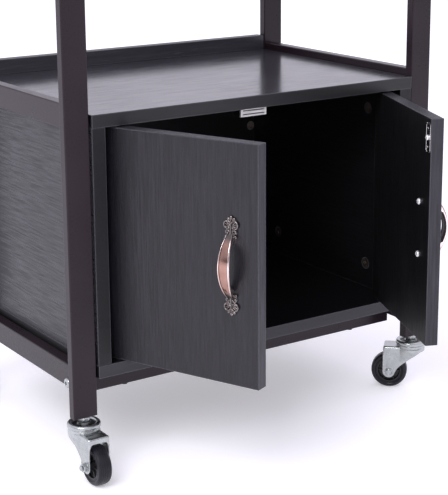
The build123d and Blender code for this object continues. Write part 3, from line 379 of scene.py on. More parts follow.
FINISHES = {
    "frame_paint": paint(),
    "zinc_steel": plated(
        "zinc_plate", ((0.375, 0.397, 0.394), (0.505, 0.528, 0.522)), (0.20, 0.36)
    ),
    "bright_steel": plated(
        "bright_screws", ((0.78, 0.79, 0.80), (0.92, 0.92, 0.93)), (0.14, 0.26), metallic=0.55
    ),
    "black_oxide": plated(
        "blackened_steel", ((0.020, 0.020, 0.022), (0.040, 0.040, 0.043)), (0.30, 0.45)
    ),
    "nickel": plated("nickel_plate", ((0.56, 0.55, 0.53), (0.72, 0.71, 0.69)), (0.12, 0.24)),
    "satin_metal": plated(
        "satin_aluminium", ((0.90, 0.89, 0.86), (0.97, 0.96, 0.93)), (0.34, 0.48), metallic=0.15
    ),
    "magnet": plated("magnet_grey", ((0.10, 0.10, 0.11), (0.16, 0.16, 0.17)), (0.35, 0.5)),
    "cam_metal": plated("cast_cam", ((0.26, 0.22, 0.19), (0.42, 0.36, 0.31)), (0.35, 0.5), 1200),
    "antique_copper": antique_copper(),
    "nylon": moulded(
        "black_nylon", ((0.006, 0.006, 0.007), (0.012, 0.012, 0.013)), (0.35, 0.45)
    ),
    "wheel_plastic": moulded(
        "wheel_plastic_black", ((0.007, 0.007, 0.008), (0.014, 0.014, 0.016)), (0.32, 0.45)
    ),
    "wheel_rubber": moulded(
        "wheel_rubber_charcoal", ((0.007, 0.007, 0.010), (0.013, 0.013, 0.018)), (0.26, 0.40),
        peel_scale=500, ior=1.36,
    ),
}


def dress_cad_nodes():
    """Gives each carried-over node the finish of its slot."""
    for name, node in nodes.items():
        slot = node.data.materials[0].name
        node.data.materials[0] = LAMINATES[name] if slot == "black_laminate" else FINISHES[slot]


# Mesh helpers. Shapes are drawn in millimetres and scaled when they become a piece.
# A nut's chamfer: its steps, as depths in shares of the width across flats, the round
# face's share of the half width, and how fast the radius grows with the depth
NUT_SIDES = 48
NUT_CHAMFER_STEPS = (0, 0.02, 0.04, 0.06)
NUT_FACE_SHARE = 0.98
NUT_CHAMFER_SLOPE = 1.73
MERGE_DISTANCE = 0.0002
# A cutter's eased edges, and how far it stands out of what it cuts
CUTTER_EASING = 0.05
CUTTER_EXCESS = 1


def around(sides):
    """Angles of evenly spaced spokes."""
    return [2 * math.pi * step / sides for step in range(sides)]


def band(mesh, first, second):
    """Faces between two rings of vertices."""
    for step in range(len(first)):
        after = (step + 1) % len(first)
        mesh.faces.new((first[step], first[after], second[after], second[step]))


def close_skin(mesh, rings):
    """Faces between rings in a row, and over the first and the last ring."""
    for first, second in zip(rings, rings[1:]):
        band(mesh, first, second)
    mesh.faces.new(reversed(rings[0]))
    mesh.faces.new(rings[-1])


def loft(mesh, sections, matrix=Matrix()):
    """A closed solid through sections that have the same number of points."""
    rings = [[mesh.verts.new(matrix @ Vector(point)) for point in section] for section in sections]
    close_skin(mesh, rings)


def turned(mesh, outline, matrix=Matrix(), sides=48):
    """A solid turned about z from a closed outline of (radius, height) points."""
    rings = []
    for angle in around(sides):
        spoke = Vector((math.cos(angle), math.sin(angle), 0))
        points = [spoke * radius + UP * height for radius, height in outline]
        rings.append([mesh.verts.new(matrix @ point) for point in points])
    for first, second in zip(rings, rings[1:] + rings[:1]):
        band(mesh, first, second)


def mirrored(half):
    """An outline of (radius, height) points with its copy below z = 0."""
    return half + [(radius, -height) for radius, height in reversed(half)]


def nut(mesh, across_flats, low, high, matrix=Matrix()):
    """A hexagonal nut along z, its corners chamfered at both ends."""
    half = across_flats / 2
    sixth = math.pi / 3
    depths = [share * across_flats for share in NUT_CHAMFER_STEPS]
    levels = [(low + depth, depth) for depth in depths]
    levels += [(high - depth, depth) for depth in reversed(depths)]
    sections = []
    for height, depth in levels:
        section = []
        for angle in around(NUT_SIDES):
            off_flat = (angle + sixth / 2) % sixth - sixth / 2
            chamfered = NUT_FACE_SHARE * half + NUT_CHAMFER_SLOPE * depth
            radius = min(half / math.cos(off_flat), chamfered)
            section.append((radius * math.cos(angle), radius * math.sin(angle), height))
        sections.append(section)
    loft(mesh, sections, matrix)


def tube(mesh, points, radii, sides=12):
    """A closed round tube through the points, with one radius at each point."""
    rings = []
    side = None
    for index, point in enumerate(points):
        ahead = points[min(index + 1, len(points) - 1)]
        behind = points[max(index - 1, 0)]
        along = (ahead - behind).normalized()
        if side is None:
            side = along.orthogonal().normalized()
        side = (side - along * side.dot(along)).normalized()
        other = along.cross(side)
        spokes = [side * math.cos(angle) + other * math.sin(angle) for angle in around(sides)]
        rings.append([mesh.verts.new(point + spoke * radii[index]) for spoke in spokes])
    close_skin(mesh, rings)


def blob(mesh, centre, size, turn=0.0):
    """An ellipsoid with its own half length, width and height, turned about z."""
    shape = Matrix.Translation(centre) @ Matrix.Rotation(turn, 4, "Z") @ Matrix.Diagonal((*size, 1))
    bmesh.ops.create_uvsphere(mesh, u_segments=16, v_segments=10, radius=1, matrix=shape)


def block(mesh, low, high, edge=0.4, matrix=Matrix()):
    """A rectangular block between two corners, its edges eased."""
    low, high = Vector(low), Vector(high)
    size = high - low
    shape = matrix @ Matrix.Translation((low + high) / 2) @ Matrix.Diagonal((*size, 1))
    corners = bmesh.ops.create_cube(mesh, size=1, matrix=shape)["verts"]
    sides = list({side for corner in corners for side in corner.link_edges})
    bmesh.ops.bevel(mesh, geom=sides, offset=edge, segments=2, profile=0.5, affect="EDGES")


def arc_points(centre, radii, start, stop, steps, height):
    """Points on an arc, in degrees, whose radius goes from its first to its last value."""
    first, last = radii
    points = []
    for step in range(steps + 1):
        share = step / steps
        angle = math.radians(start + (stop - start) * share)
        reach = first + (last - first) * share
        x = centre[0] + reach * math.cos(angle)
        y = centre[1] + reach * math.sin(angle)
        points.append(Vector((x, y, height)))
    return points


def linked(name, data):
    """A new object of the scene with the given data."""
    made = bpy.data.objects.new(name, data)
    bpy.context.scene.collection.objects.link(made)
    return made


def shaped(name, mesh):
    """Turns a bmesh in millimetres into an object in metres, still at the origin."""
    bmesh.ops.remove_doubles(mesh, verts=mesh.verts, dist=MERGE_DISTANCE)
    bare = [edge for edge in mesh.edges if not edge.link_faces]
    bmesh.ops.delete(mesh, geom=bare, context="EDGES")
    bmesh.ops.recalc_face_normals(mesh, faces=mesh.faces)
    data = bpy.data.meshes.new(name)
    mesh.to_mesh(data)
    mesh.free()
    data.transform(Matrix.Scale(MM, 4))
    return linked(name, data)


def apply_modifiers(made):
    evaluated = made.evaluated_get(bpy.context.evaluated_depsgraph_get())
    skin = bpy.data.meshes.new_from_object(evaluated)
    made.modifiers.clear()
    made.data = skin


def fuse(made, voxel, smoothing, kept):
    """Makes one smooth closed skin of overlapping solids, with a share of its faces kept."""
    remesh = made.modifiers.new("skin", "REMESH")
    remesh.mode = "VOXEL"
    remesh.voxel_size = voxel * MM
    soften = made.modifiers.new("soften", "SMOOTH")
    soften.factor = 0.5
    soften.iterations = smoothing
    thin = made.modifiers.new("thin", "DECIMATE")
    thin.ratio = kept
    apply_modifiers(made)


def carve(made, cutters):
    """Cuts the solids of the bmesh cutters out of an object."""
    tool = shaped("cutter", cutters)
    cut = made.modifiers.new("cut", "BOOLEAN")
    cut.operation = "DIFFERENCE"
    cut.solver = "EXACT"
    cut.use_self = True
    cut.object = tool
    apply_modifiers(made)
    bpy.data.objects.remove(tool)


def take_skin(made):
    """Keeps the mesh of an object and drops the object."""
    skin = made.data
    bpy.data.objects.remove(made)
    return skin


def face_matrix(x_axis, z_axis, origin):
    columns = Matrix((x_axis, z_axis.cross(x_axis), z_axis)).transposed().to_4x4()
    return Matrix.Translation(origin) @ columns


def in_millimetres(matrix):
    """The same frame for shapes that are drawn in millimetres."""
    changed = matrix.copy()
    changed.translation = matrix.translation / MM
    return changed


def settle(made, body, slot, *replaced, place=Matrix(), crease=38, finish=None):
    """Puts a finished piece at its place, parents it to its body, gives it the given finish, else
    the finish of its slot, and hides the CAD nodes that it replaces.
    """
    made.data.transform(place)
    made.data.shade_smooth()
    made.data.set_sharp_from_angle(angle=math.radians(crease))
    made.data.materials.clear()
    made.data.materials.append(FINISHES[finish or slot])
    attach(made, body)
    if replaced:
        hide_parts(*replaced)


# Doors. On the outer face x runs across, y up and z out of the door. On the inner
# face x runs from the pin to the free edge and z into the cabinet.
DOOR_THICKNESS = 16.0


def door_axes(hand):
    """The pin, the way from it to the free edge, and the way the outer face looks."""
    side = HANDS[hand]
    outward = door_outward(hand)
    along = UP.cross(outward) * side
    return Vector(joints[f"{hand}_door_hinge"]["pos_m"]), along, outward


def spot_on_door(hand, node, outer):
    """A frame on a face of the door, over the middle of a CAD node."""
    pin, along, outward = door_axes(hand)
    low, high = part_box(node)
    middle = (Vector(low) + Vector(high)) / 2
    reach = (middle - pin).dot(along)
    direction = 1 if outer else -1
    origin = pin + along * reach + outward * direction * DOOR_THICKNESS / 2 * MM
    origin.z = middle.z
    if outer:
        return face_matrix(UP.cross(outward), outward, origin)
    return face_matrix(along, -outward, origin)


# Grip of the pulls. Rims and crown are in shares of its half width.
STRAP_HALF_LENGTH = 40.0
STRAP_GAP_HALF_LENGTH = 30.0
STRAP_FOOT_HEIGHT = 2.4
PULL_PROJECTION = 20.0
STRAP_THICKNESS = 4.0
STRAP_HALF_WIDTH = 7.8
STRAP_NECK_HALF_WIDTH = 3.4
STRAP_SIDE_DEPTH = 2.4
STRAP_LEAST_SIDE = 0.4
STRAP_RIM_DEPTH = 1.2
STRAP_RIM_PLACE = 0.84
STRAP_RIM_REACH = 0.13
STRAP_CROWN_HEIGHT = 0.25
STRAP_CROWN_REACH = 0.7
STRAP_UNDERSIDE = 0.7
STRAP_STATIONS = 72
STRAP_STEPS_TO_EDGE = 20

# Ornament at one end of a pull, beside the middle line. Scrolls: centre, first and last
# radius, first and last angle, steps, height, and first and last radius of the wire
SCROLLS = (
    ((4.7, 48.0), (4.5, 4.2), (150, -140), 26, 2.0, (1.05, 0.95)),
    ((4.0, 45.0), (1.8, 0.9), (-120, -420), 14, 2.0, (0.85, 0.60)),
    ((4.9, 39.4), (2.9, 0.8), (175, -150), 18, 2.0, (0.95, 0.70)),
    ((6.0, 34.0), (2.0, 0.7), (190, -80), 14, 2.2, (0.95, 0.70)),
)
# Veins of the leaf in the large scroll
LEAF_CENTRE = (4.7, 48.0)
LEAF_ROOT = (1.4, 46.6)
LEAF_REACH = 3.7
LEAF_HEIGHT = 1.7
LEAF_ANGLES = (70, 20, -30)
LEAF_RADII = (0.60, 0.40)
LEAF_SIDES = 8
# Lumps: centre, size, and turn in radians
SIDE_LUMPS = (
    ((4.7, 48.0, 0.4), (4.2, 4.3, 0.7), 0),
    ((4.9, 39.2, 0.4), (2.5, 3.2, 0.8), 0),
    ((4.9, 39.3, 1.4), (1.1, 1.1, 1.2), 0),
    ((5.9, 34.1, 1.6), (0.9, 0.9, 1.2), 0),
    ((3.4, 54.2, 1.2), (2.3, 2.7, 1.7), 0.75),
    ((5.9, 52.4, 1.2), (1.4, 1.7, 1.4), 1.1),
)
MIDDLE_LUMPS = (
    ((0, 56.0, 1.2), (2.3, 3.0, 1.9)),
    ((0, 46.0, 0.4), (3.2, 10.0, 1.1)),
    ((0, 37.0, 0.8), (4.2, 6.4, 1.4)),
)
# The stem on the middle line starts under the tip and grows with each step
STEM_STEPS = 15
STEM_TIP = (54.0, 2.0)
STEM_STEP = (1.5, 0.09)
STEM_RADIUS = 0.75
STEM_GROWTH = 0.06


def arc_height(y, reach, foot, crown):
    """Height of the arc that passes through (-reach, foot), (0, crown) and (reach, foot)."""
    rise = crown - foot
    radius = (reach * reach + rise * rise) / (2 * rise)
    return crown - radius + math.sqrt(max(radius * radius - y * y, 0))


def strap(mesh):
    """The bowed grip: two round rims beside a sunk, slightly crowned face."""
    steps = STRAP_STEPS_TO_EDGE
    across_steps = [step / steps for step in range(-steps, steps + 1)]
    sections = []
    for station in range(STRAP_STATIONS + 1):
        y = STRAP_HALF_LENGTH * (2 * station / STRAP_STATIONS - 1)
        top = arc_height(y, STRAP_HALF_LENGTH, STRAP_FOOT_HEIGHT, PULL_PROJECTION)
        below = arc_height(y, STRAP_GAP_HALF_LENGTH, 0, PULL_PROJECTION - STRAP_THICKNESS)
        below = max(below, 0) if abs(y) < STRAP_GAP_HALF_LENGTH else 0
        width = arc_height(y, STRAP_HALF_LENGTH, STRAP_NECK_HALF_WIDTH, STRAP_HALF_WIDTH)
        edge_height = max(top - STRAP_SIDE_DEPTH, below + STRAP_LEAST_SIDE)
        section = []
        for share in across_steps:
            off_rim = (abs(share) - STRAP_RIM_PLACE) / STRAP_RIM_REACH
            rim = math.sqrt(max(1 - off_rim * off_rim, 0))
            crown = 0
            if abs(share) < STRAP_CROWN_REACH:
                crown = STRAP_CROWN_HEIGHT * (1 - (share / STRAP_CROWN_REACH) ** 2)
            drop = STRAP_RIM_DEPTH * (1 - rim) - crown
            section.append((share * width, y, top - max(drop, 0)))
        underside = width * STRAP_UNDERSIDE
        section += [(width, y, edge_height), (underside, y, below)]
        section += [(-underside, y, below), (-width, y, edge_height)]
        sections.append(section)
    loft(mesh, sections)


def rosette(mesh, end):
    """A scrolled leaf plate: lobed tip, two C-scrolls filled with leaf, a stem and curls."""

    def place(x, y, z):
        return Vector((x, end * y, z))

    for flank in ENDS:
        for centre, radii, (start, stop), steps, height, (thick, thin) in SCROLLS:
            arc = arc_points(centre, radii, start, stop, steps, height)
            path = [place(flank * point.x, point.y, point.z) for point in arc]
            wire = [thick + (thin - thick) * step / steps for step in range(steps + 1)]
            tube(mesh, path, wire)
        root = place(flank * LEAF_ROOT[0], LEAF_ROOT[1], LEAF_HEIGHT)
        for angle in LEAF_ANGLES:
            lean = math.radians(angle)
            x = LEAF_CENTRE[0] + LEAF_REACH * math.cos(lean)
            y = LEAF_CENTRE[1] + LEAF_REACH * math.sin(lean)
            tube(mesh, [root, place(flank * x, y, LEAF_HEIGHT)], LEAF_RADII, LEAF_SIDES)
        for (x, y, z), size, turn in SIDE_LUMPS:
            blob(mesh, place(flank * x, y, z), size, -end * flank * turn)
    for centre, size in MIDDLE_LUMPS:
        blob(mesh, place(*centre), size)
    stem = []
    for step in range(STEM_STEPS):
        stem.append(place(0, STEM_TIP[0] - STEM_STEP[0] * step, STEM_TIP[1] + STEM_STEP[1] * step))
    tube(mesh, stem, [STEM_RADIUS + STEM_GROWTH * step for step in range(STEM_STEPS)])


def pull_skin():
    """The mesh of a pull: a fused rosette at each end, and the grip between them."""
    ornament = bmesh.new()
    for end in ENDS:
        rosette(ornament, end)
    made = shaped("pull_pattern", ornament)
    fuse(made, voxel=0.26, smoothing=2, kept=0.6)
    whole = bmesh.new()
    whole.from_mesh(made.data)
    grip = bmesh.new()
    strap(grip)
    bmesh.ops.recalc_face_normals(grip, faces=grip.faces)
    bmesh.ops.scale(grip, vec=(MM, MM, MM), verts=grip.verts)
    spare = bpy.data.meshes.new("grip")
    grip.to_mesh(spare)
    grip.free()
    whole.from_mesh(spare)
    whole.to_mesh(made.data)
    whole.free()
    bpy.data.meshes.remove(spare)
    return take_skin(made)


def pulls():
    skin = pull_skin()
    for hand in HANDS:
        place = spot_on_door(hand, f"{hand}_handle", True)
        made = linked(f"{hand}_pull", skin.copy())
        settle(made, f"{hand}_door", "antique_copper", f"{hand}_handle", place=place, crease=60)


# Strike plates: a rounded sheet, a bead along its ends and free edge, and two pips
STRIKE_HALF_WIDTH = 7.0
STRIKE_HALF_HEIGHT = 18.0
STRIKE_CORNER = 3.0
STRIKE_THICKNESS = 1.2
# The sheet's edge, as insets and heights
STRIKE_SHEET = ((0, 0), (0, 0.77), (0.03, 0.8))
STRIKE_BEAD_RADIUS = 0.95
STRIKE_BEAD_END_RADIUS = 0.5
STRIKE_BEAD_RISE = 0.2
STRIKE_BEAD_TURN = 100
STRIKE_BEND_STEPS = 10
STRIKE_CORNER_STEPS = 6
STRIKE_PIP = (0.5, 11.4, 0.7)
STRIKE_PIP_SIZE = (1.1, 1.1, 0.8)


def rounded_rectangle(half_width, half_height, corner, height):
    points = []
    for x_side, y_side, start in ((1, 1, 0), (-1, 1, 90), (-1, -1, 180), (1, -1, 270)):
        centre = (x_side * (half_width - corner), y_side * (half_height - corner))
        turn = (start, start + 90)
        points += arc_points(centre, (corner, corner), *turn, STRIKE_CORNER_STEPS, height)
    return points


def strike_plate(hand):
    mesh = bmesh.new()
    sheet = []
    for inset, height in STRIKE_SHEET:
        half_width, half_height = STRIKE_HALF_WIDTH - inset, STRIKE_HALF_HEIGHT - inset
        sheet.append(rounded_rectangle(half_width, half_height, STRIKE_CORNER - inset, height))
    loft(mesh, sheet)
    bend = (STRIKE_CORNER, STRIKE_CORNER)
    bend_x = STRIKE_HALF_WIDTH - STRIKE_BEAD_RADIUS - STRIKE_CORNER
    bend_y = STRIKE_HALF_HEIGHT - STRIKE_BEAD_RADIUS - STRIKE_CORNER
    height = STRIKE_THICKNESS + STRIKE_BEAD_RISE - STRIKE_BEAD_RADIUS
    turn, steps = STRIKE_BEAD_TURN, STRIKE_BEND_STEPS
    path = arc_points((bend_x, bend_y), bend, turn, 0, steps, height)
    path += arc_points((bend_x, -bend_y), bend, 0, -turn, steps, height)
    middle_radii = [STRIKE_BEAD_RADIUS] * (len(path) - 2)
    tube(mesh, path, [STRIKE_BEAD_END_RADIUS, *middle_radii, STRIKE_BEAD_END_RADIUS])
    pip_x, pip_y, pip_height = STRIKE_PIP
    for end in ENDS:
        blob(mesh, Vector((pip_x, end * pip_y, pip_height)), STRIKE_PIP_SIZE)
    made = shaped(f"{hand}_strike", mesh)
    place = spot_on_door(hand, f"{hand}_strike_plate", False)
    settle(made, f"{hand}_door", "nickel", f"{hand}_strike_plate", place=place)


# Screws on the inner faces of the doors. A head is its radius and height.
PULL_SCREW_REACH = 33.5
PULL_SCREW_HEAD = (4.1, 3.2)
PULL_SCREW_RADIUS = 2.0
PULL_SCREW_LENGTH = DOOR_THICKNESS + 4.0
STRIKE_SCREW_HEAD = (3.4, 2.6)
STRIKE_SCREW_RADIUS = 1.7
STRIKE_SCREW_LENGTH = 12.0
SCREW_SIDES = 32
# The underside's share of the radius, the rim's share of the height, and the angles of
# the points on the round head
HEAD_UNDERSIDE = 0.97
HEAD_RIM = 0.1
HEAD_ANGLES = (4, 18, 32, 46, 60, 74)
# The cross recess, in shares of the head: half width and reach of the radius, and the
# height of its floor
RECESS_HALF_WIDTH = 0.17
RECESS_REACH = 0.66
RECESS_FLOOR = 0.30


def round_head_screw(mesh, cutters, matrix, head, shank_radius, shank_length):
    """A cross-recess round-head screw standing on z = 0."""
    radius, height = head
    outline = [(0, -shank_length), (shank_radius, -shank_length), (shank_radius, 0)]
    outline.append((HEAD_UNDERSIDE * radius, 0))
    for angle in HEAD_ANGLES:
        lean = math.radians(angle)
        level = HEAD_RIM + (1 - HEAD_RIM) * math.sin(lean)
        outline.append((radius * math.cos(lean), height * level))
    outline.append((0, height))
    turned(mesh, outline, matrix, SCREW_SIDES)
    narrow = RECESS_HALF_WIDTH * radius
    reach = RECESS_REACH * radius
    floor = RECESS_FLOOR * height
    above = height + CUTTER_EXCESS
    for half_x, half_y in ((reach, narrow), (narrow, reach)):
        low, high = (-half_x, -half_y, floor), (half_x, half_y, above)
        block(cutters, low, high, CUTTER_EASING, matrix)


def door_screws(hand):
    mesh = bmesh.new()
    cutters = bmesh.new()
    pull_spot = spot_on_door(hand, f"{hand}_handle", False)
    for end in ENDS:
        to_screw = Matrix.Translation((0, end * PULL_SCREW_REACH * MM, 0))
        spot = in_millimetres(pull_spot @ to_screw)
        round_head_screw(
            mesh, cutters, spot, PULL_SCREW_HEAD, PULL_SCREW_RADIUS, PULL_SCREW_LENGTH
        )
    strike_spot = spot_on_door(hand, f"{hand}_strike_plate", False)
    spot = in_millimetres(strike_spot @ Matrix.Translation((0, 0, STRIKE_THICKNESS * MM)))
    round_head_screw(
        mesh, cutters, spot, STRIKE_SCREW_HEAD, STRIKE_SCREW_RADIUS, STRIKE_SCREW_LENGTH
    )
    made = shaped(f"{hand}_screws", mesh)
    carve(made, cutters)
    settle(made, f"{hand}_door", "bright_steel", f"{hand}_door_screws")


# Magnetic catch: a bright front of two end blocks and three plates, on a dark magnet
# body. A plate is its top and bottom, down from the top of the catch, and its set-back.
CATCH_END = 3.8
CATCH_END_EASING = 0.7
CATCH_PLATES = ((0.0, 5.6, 0.5), (7.0, 10.2, 0.2), (11.8, 14.0, 0.5))
CATCH_PLATE_INSET = 1
CATCH_PLATE_EASING = 0.35
CATCH_PLATE_SHORT = 0.3
CATCH_FRAME_DEPTH = 3.6
NOTCH_HALF_WIDTH = 0.5
NOTCH_DEPTH = 2.5
NOTCH_BELOW = 0.4
NOTCH_ABOVE = 1.9
MAGNET_RECESS = 2.2
MAGNET_INSET = 0.5
MAGNET_BELOW = 0.4
MAGNET_EASING = 0.3


def catch():
    low, high = (Vector(corner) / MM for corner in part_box("catch_housing"))
    body = bmesh.new()
    back = low.y + CATCH_FRAME_DEPTH
    for x in (low.x, high.x - CATCH_END):
        block(body, (x, low.y, low.z), (x + CATCH_END, back, high.z), CATCH_END_EASING)
    left, right = low.x + CATCH_PLATE_INSET, high.x - CATCH_PLATE_INSET
    for top, bottom, set_back in CATCH_PLATES:
        plate_low = (left, low.y + set_back, high.z - bottom)
        plate_high = (right, back - CATCH_PLATE_SHORT, high.z - top)
        block(body, plate_low, plate_high, CATCH_PLATE_EASING)
    made = shaped("catch_body", body)
    notches = bmesh.new()
    for x in (low.x + CATCH_END, high.x - CATCH_END):
        for top, _, _ in CATCH_PLATES[1:]:
            level = high.z - top
            notch_low = (x - NOTCH_HALF_WIDTH, low.y - CUTTER_EXCESS, level - NOTCH_BELOW)
            notch_high = (x + NOTCH_HALF_WIDTH, low.y + NOTCH_DEPTH, level + NOTCH_ABOVE)
            block(notches, notch_low, notch_high, CUTTER_EASING)
    carve(made, notches)
    settle(made, "frame", "nickel", "catch_housing", finish="satin_metal")
    bars = bmesh.new()
    bars_low = (low.x + MAGNET_INSET, low.y + MAGNET_RECESS, low.z + MAGNET_BELOW)
    block(bars, bars_low, (high.x - MAGNET_INSET, high.y, high.z), MAGNET_EASING)
    settle(shaped("catch_magnet_bars", bars), "frame", "magnet", "catch_magnets")


# Castors. In a castor's frame x is the way the wheel trails and z is up, with the
# origin on the floor under the stem. Outlines are (radius, height) points.
CORNERS = [
    name.removesuffix("_castor_swivel") for name in joints if name.endswith("_castor_swivel")
]
WHEEL_RADIUS = 25.0
CASTOR_TRAIL = 29.0

# The fork
CROWN_TOP = 62.0
CROWN_RADIUS = 20.0
FORK_GAUGE = 2.0
FORK_HALF_WIDTH = 14.5
FORK_FRONT = 37.5
FORK_BEND = 2.6
FOOT_RADIUS = 8.5
SKIRT_LOW = 55.5
SKIRT_FRONT = -14.0
# The swept edge from the skirt to the foot is mostly straight, with a share of curve
SWEEP_STRAIGHT = 0.86
SWEEP_CURVED = 0.14
SWEEP_POWER = 8
# The cheeks flare out to the crown over this length, from this far under its top
FLARE_START = 4
FLARE_LENGTH = 17
# Over this length, from this height, the cheeks turn in at the front
TURN_IN_LOW = 48
TURN_IN_LENGTH = 6
TURN_IN_SHARE = 0.8
LEAST_HALF_WIDTH = 0.05
BEND_SHARE = 0.45
CHEEK_STEPS = 12
BEND_ANGLES = (30, 60, 90)
ROOF_SHARES = (0.66, 0.33)
CROWN_BACK_ANGLES = range(8, 90, 6)
MIDDLE_STEP = 1.5
MIDDLE_STEPS = 12
FOOT_ANGLES = range(10, 181, 10)
LIP_LOW = 54.5
LIP_ARCH_RADIUS = 5.0
LIP_INSET = 1.2
LIP_LAP = 0.4
LIP_STEPS = 12
FORK_RING = [
    (16.2, 61.0), (19.4, 61.0), (19.6, 61.6), (19.6, 64.3), (19.0, 64.9), (16.8, 64.9),
    (16.2, 64.3),
]

# The wheel. Here a height is the way from the middle of the wheel along its axle.
AXLE_HEAD = [
    (0, 14.5), (5.6, 14.5), (5.6, 15.2), (5.3, 15.6), (4.7, 15.7), (4.4, 15.5), (4.1, 16.0),
    (3.6, 16.4), (2.4, 16.65), (0, 16.7),
]
AXLE_RADIUS = 3.0
AXLE_ROOT = 14.6
AXLE_TIP = (2.5, -22.0)
THREAD_START = -19.4
THREAD_FIRST_ROOT = -19.6
THREAD_FIRST_CREST = -19.85
THREAD_TURNS = 4
THREAD_PITCH = 0.5
THREAD_ROOT_RADIUS = 2.65
AXLE_WASHER = [(0, -15.3), (5.8, -15.3), (6.0, -15.1), (6.0, -14.5), (0, -14.5)]
AXLE_NUT = (10.0, -19.5, -15.3)
TYRE_HALF = [
    (17.0, 8.0), (18.2, 8.4), (18.8, 7.9), (19.4, 8.5), (20.6, 9.0), (22.0, 8.9), (23.3, 8.1),
    (24.1, 7.0), (23.9, 6.6), (24.5, 6.1), (24.8, 4.6), (24.5, 4.3), (24.85, 4.0),
    (24.97, 1.7), (24.6, 1.4), (25.0, 1.1),
]
TYRE_SIDES = 96
HUB_HALF = [
    (3.05, 11.2), (5.4, 11.2), (6.0, 10.7), (6.3, 4.6), (7.2, 4.0), (14.0, 4.0), (14.8, 4.8),
    (15.0, 7.7), (15.3, 8.0), (16.7, 8.0), (17.0, 7.7),
]
HUB_SIDES = 64
SPOKES = 6
SPOKE_LOW = (5.8, -0.7, -7.0)
SPOKE_HIGH = (15.4, 0.7, 7.0)
SPOKE_EASING = 0.25

# The bearing and stem
CAP_RIM_CENTRE = (17.5, 67.7)
CAP_RIM_RADIUS = 3.3
CAP_RIM_ANGLES = range(-24, 190, 11)
CAP_FLOOR = [
    (13.4, 66.6), (5.0, 66.6), (5.0, 66.0), (15.4, 66.0), (17.6, 65.3), (20.2, 65.2),
    (20.6, 65.6),
]
CAP_SIDES = 72
STEM_COLLAR = [
    (0, 67.2), (8.5, 67.2), (8.5, 68.6), (8.1, 68.9), (8.5, 69.2), (8.4, 70.1), (8.0, 70.4),
    (0, 70.4),
]
KINGPIN = [
    (0, 57.0), (6.6, 57.0), (7.5, 57.8), (7.5, 59.7), (4.95, 59.7), (4.95, 67.3), (0, 67.3),
]
STUD = [(0, 70.0), (4.0, 70.0), (4.0, 100.4), (3.4, 101.0), (0, 101.0)]
STEM_NUT = (14.0, 70.4, 77.0)
# A black nylon ring in each cap's recess, which makes the recess dark
RECESS_RING = [(8.9, 66.4), (13.8, 66.4), (13.8, 67.6), (13.2, 68.2), (9.6, 68.4), (8.9, 67.9)]
BALLS = 14
BALL_RADIUS = 1.8
BALL_RING = Vector((14.2, 0, 64.1))


def castor_frame(corner):
    stem = Vector(joints[f"{corner}_castor_swivel"]["pos_m"])
    wheel = Vector(joints[f"{corner}_wheel_spin"]["pos_m"])
    trail = Vector((wheel.x - stem.x, wheel.y - stem.y, 0)).normalized()
    return face_matrix(trail, UP, Vector((stem.x, stem.y, 0)))


def ease(share):
    share = min(max(share, 0), 1)
    return share * share * (3 - 2 * share)


def cheek_low(u):
    """Lower edge of a cheek: skirt behind, swept edge down to the axle, round foot."""
    foot_back = CASTOR_TRAIL - FOOT_RADIUS
    if u <= SKIRT_FRONT:
        return SKIRT_LOW
    if u < foot_back:
        share = (u - SKIRT_FRONT) / (foot_back - SKIRT_FRONT)
        swept = SWEEP_STRAIGHT * share + SWEEP_CURVED * share**SWEEP_POWER
        return SKIRT_LOW - (SKIRT_LOW - WHEEL_RADIUS) * swept
    return WHEEL_RADIUS - math.sqrt(max(FOOT_RADIUS**2 - (u - CASTOR_TRAIL) ** 2, 0))


def fork_half(u, inward):
    """Half of a section across the fork at u, from the bottom of a cheek to the middle of
    the crown. inward is 0 for the outer skin and the gauge for the inner one."""
    radius = CROWN_RADIUS - inward
    round_width = math.sqrt(max(radius * radius - u * u, 0))
    flat_width = FORK_HALF_WIDTH - inward
    top = max(round_width, flat_width) if u > 0 else round_width
    top = max(top, LEAST_HALF_WIDTH)
    front = max(u - (FORK_FRONT - FORK_BEND), 0)
    turn_in = FORK_BEND - math.sqrt(max(FORK_BEND**2 - front**2, 0))
    roof = CROWN_TOP - inward - turn_in
    bend = min(FORK_BEND - inward, BEND_SHARE * top)
    low = cheek_low(u)
    points = []
    for step in range(CHEEK_STEPS + 1):
        z = low + (roof - bend - low) * step / CHEEK_STEPS
        flare = ease(1 - (CROWN_TOP - FLARE_START - z) / FLARE_LENGTH)
        width = min(top, flat_width) + max(top - flat_width, 0) * flare
        width -= min(turn_in, TURN_IN_SHARE * width) * ease((z - TURN_IN_LOW) / TURN_IN_LENGTH)
        points.append((max(width, LEAST_HALF_WIDTH), z))
    last = points[-1][0]
    for angle in BEND_ANGLES:
        lean = math.radians(angle)
        width = max(last - bend + bend * math.cos(lean), LEAST_HALF_WIDTH)
        points.append((width, roof - bend + bend * math.sin(lean)))
    inner_edge = points[-1][0]
    points += [(inner_edge * share, roof) for share in ROOF_SHARES]
    return points


def fork_section(u):
    outer = fork_half(u, 0)
    inner = fork_half(u, FORK_GAUGE)
    section = [(u, -v, z) for v, z in outer] + [(u, v, z) for v, z in reversed(outer)]
    section += [(u, v, z) for v, z in inner] + [(u, -v, z) for v, z in reversed(inner)]
    return section


def fork_stations():
    """Places along the fork: round the back of the crown, the middle, and the foot."""
    back = [-CROWN_RADIUS * math.cos(math.radians(angle)) for angle in CROWN_BACK_ANGLES]
    middle = [MIDDLE_STEP * step for step in range(1, MIDDLE_STEPS + 1)]
    across_foot = [FOOT_RADIUS * math.cos(math.radians(angle)) for angle in FOOT_ANGLES]
    return back + middle + [CASTOR_TRAIL - reach for reach in across_foot]


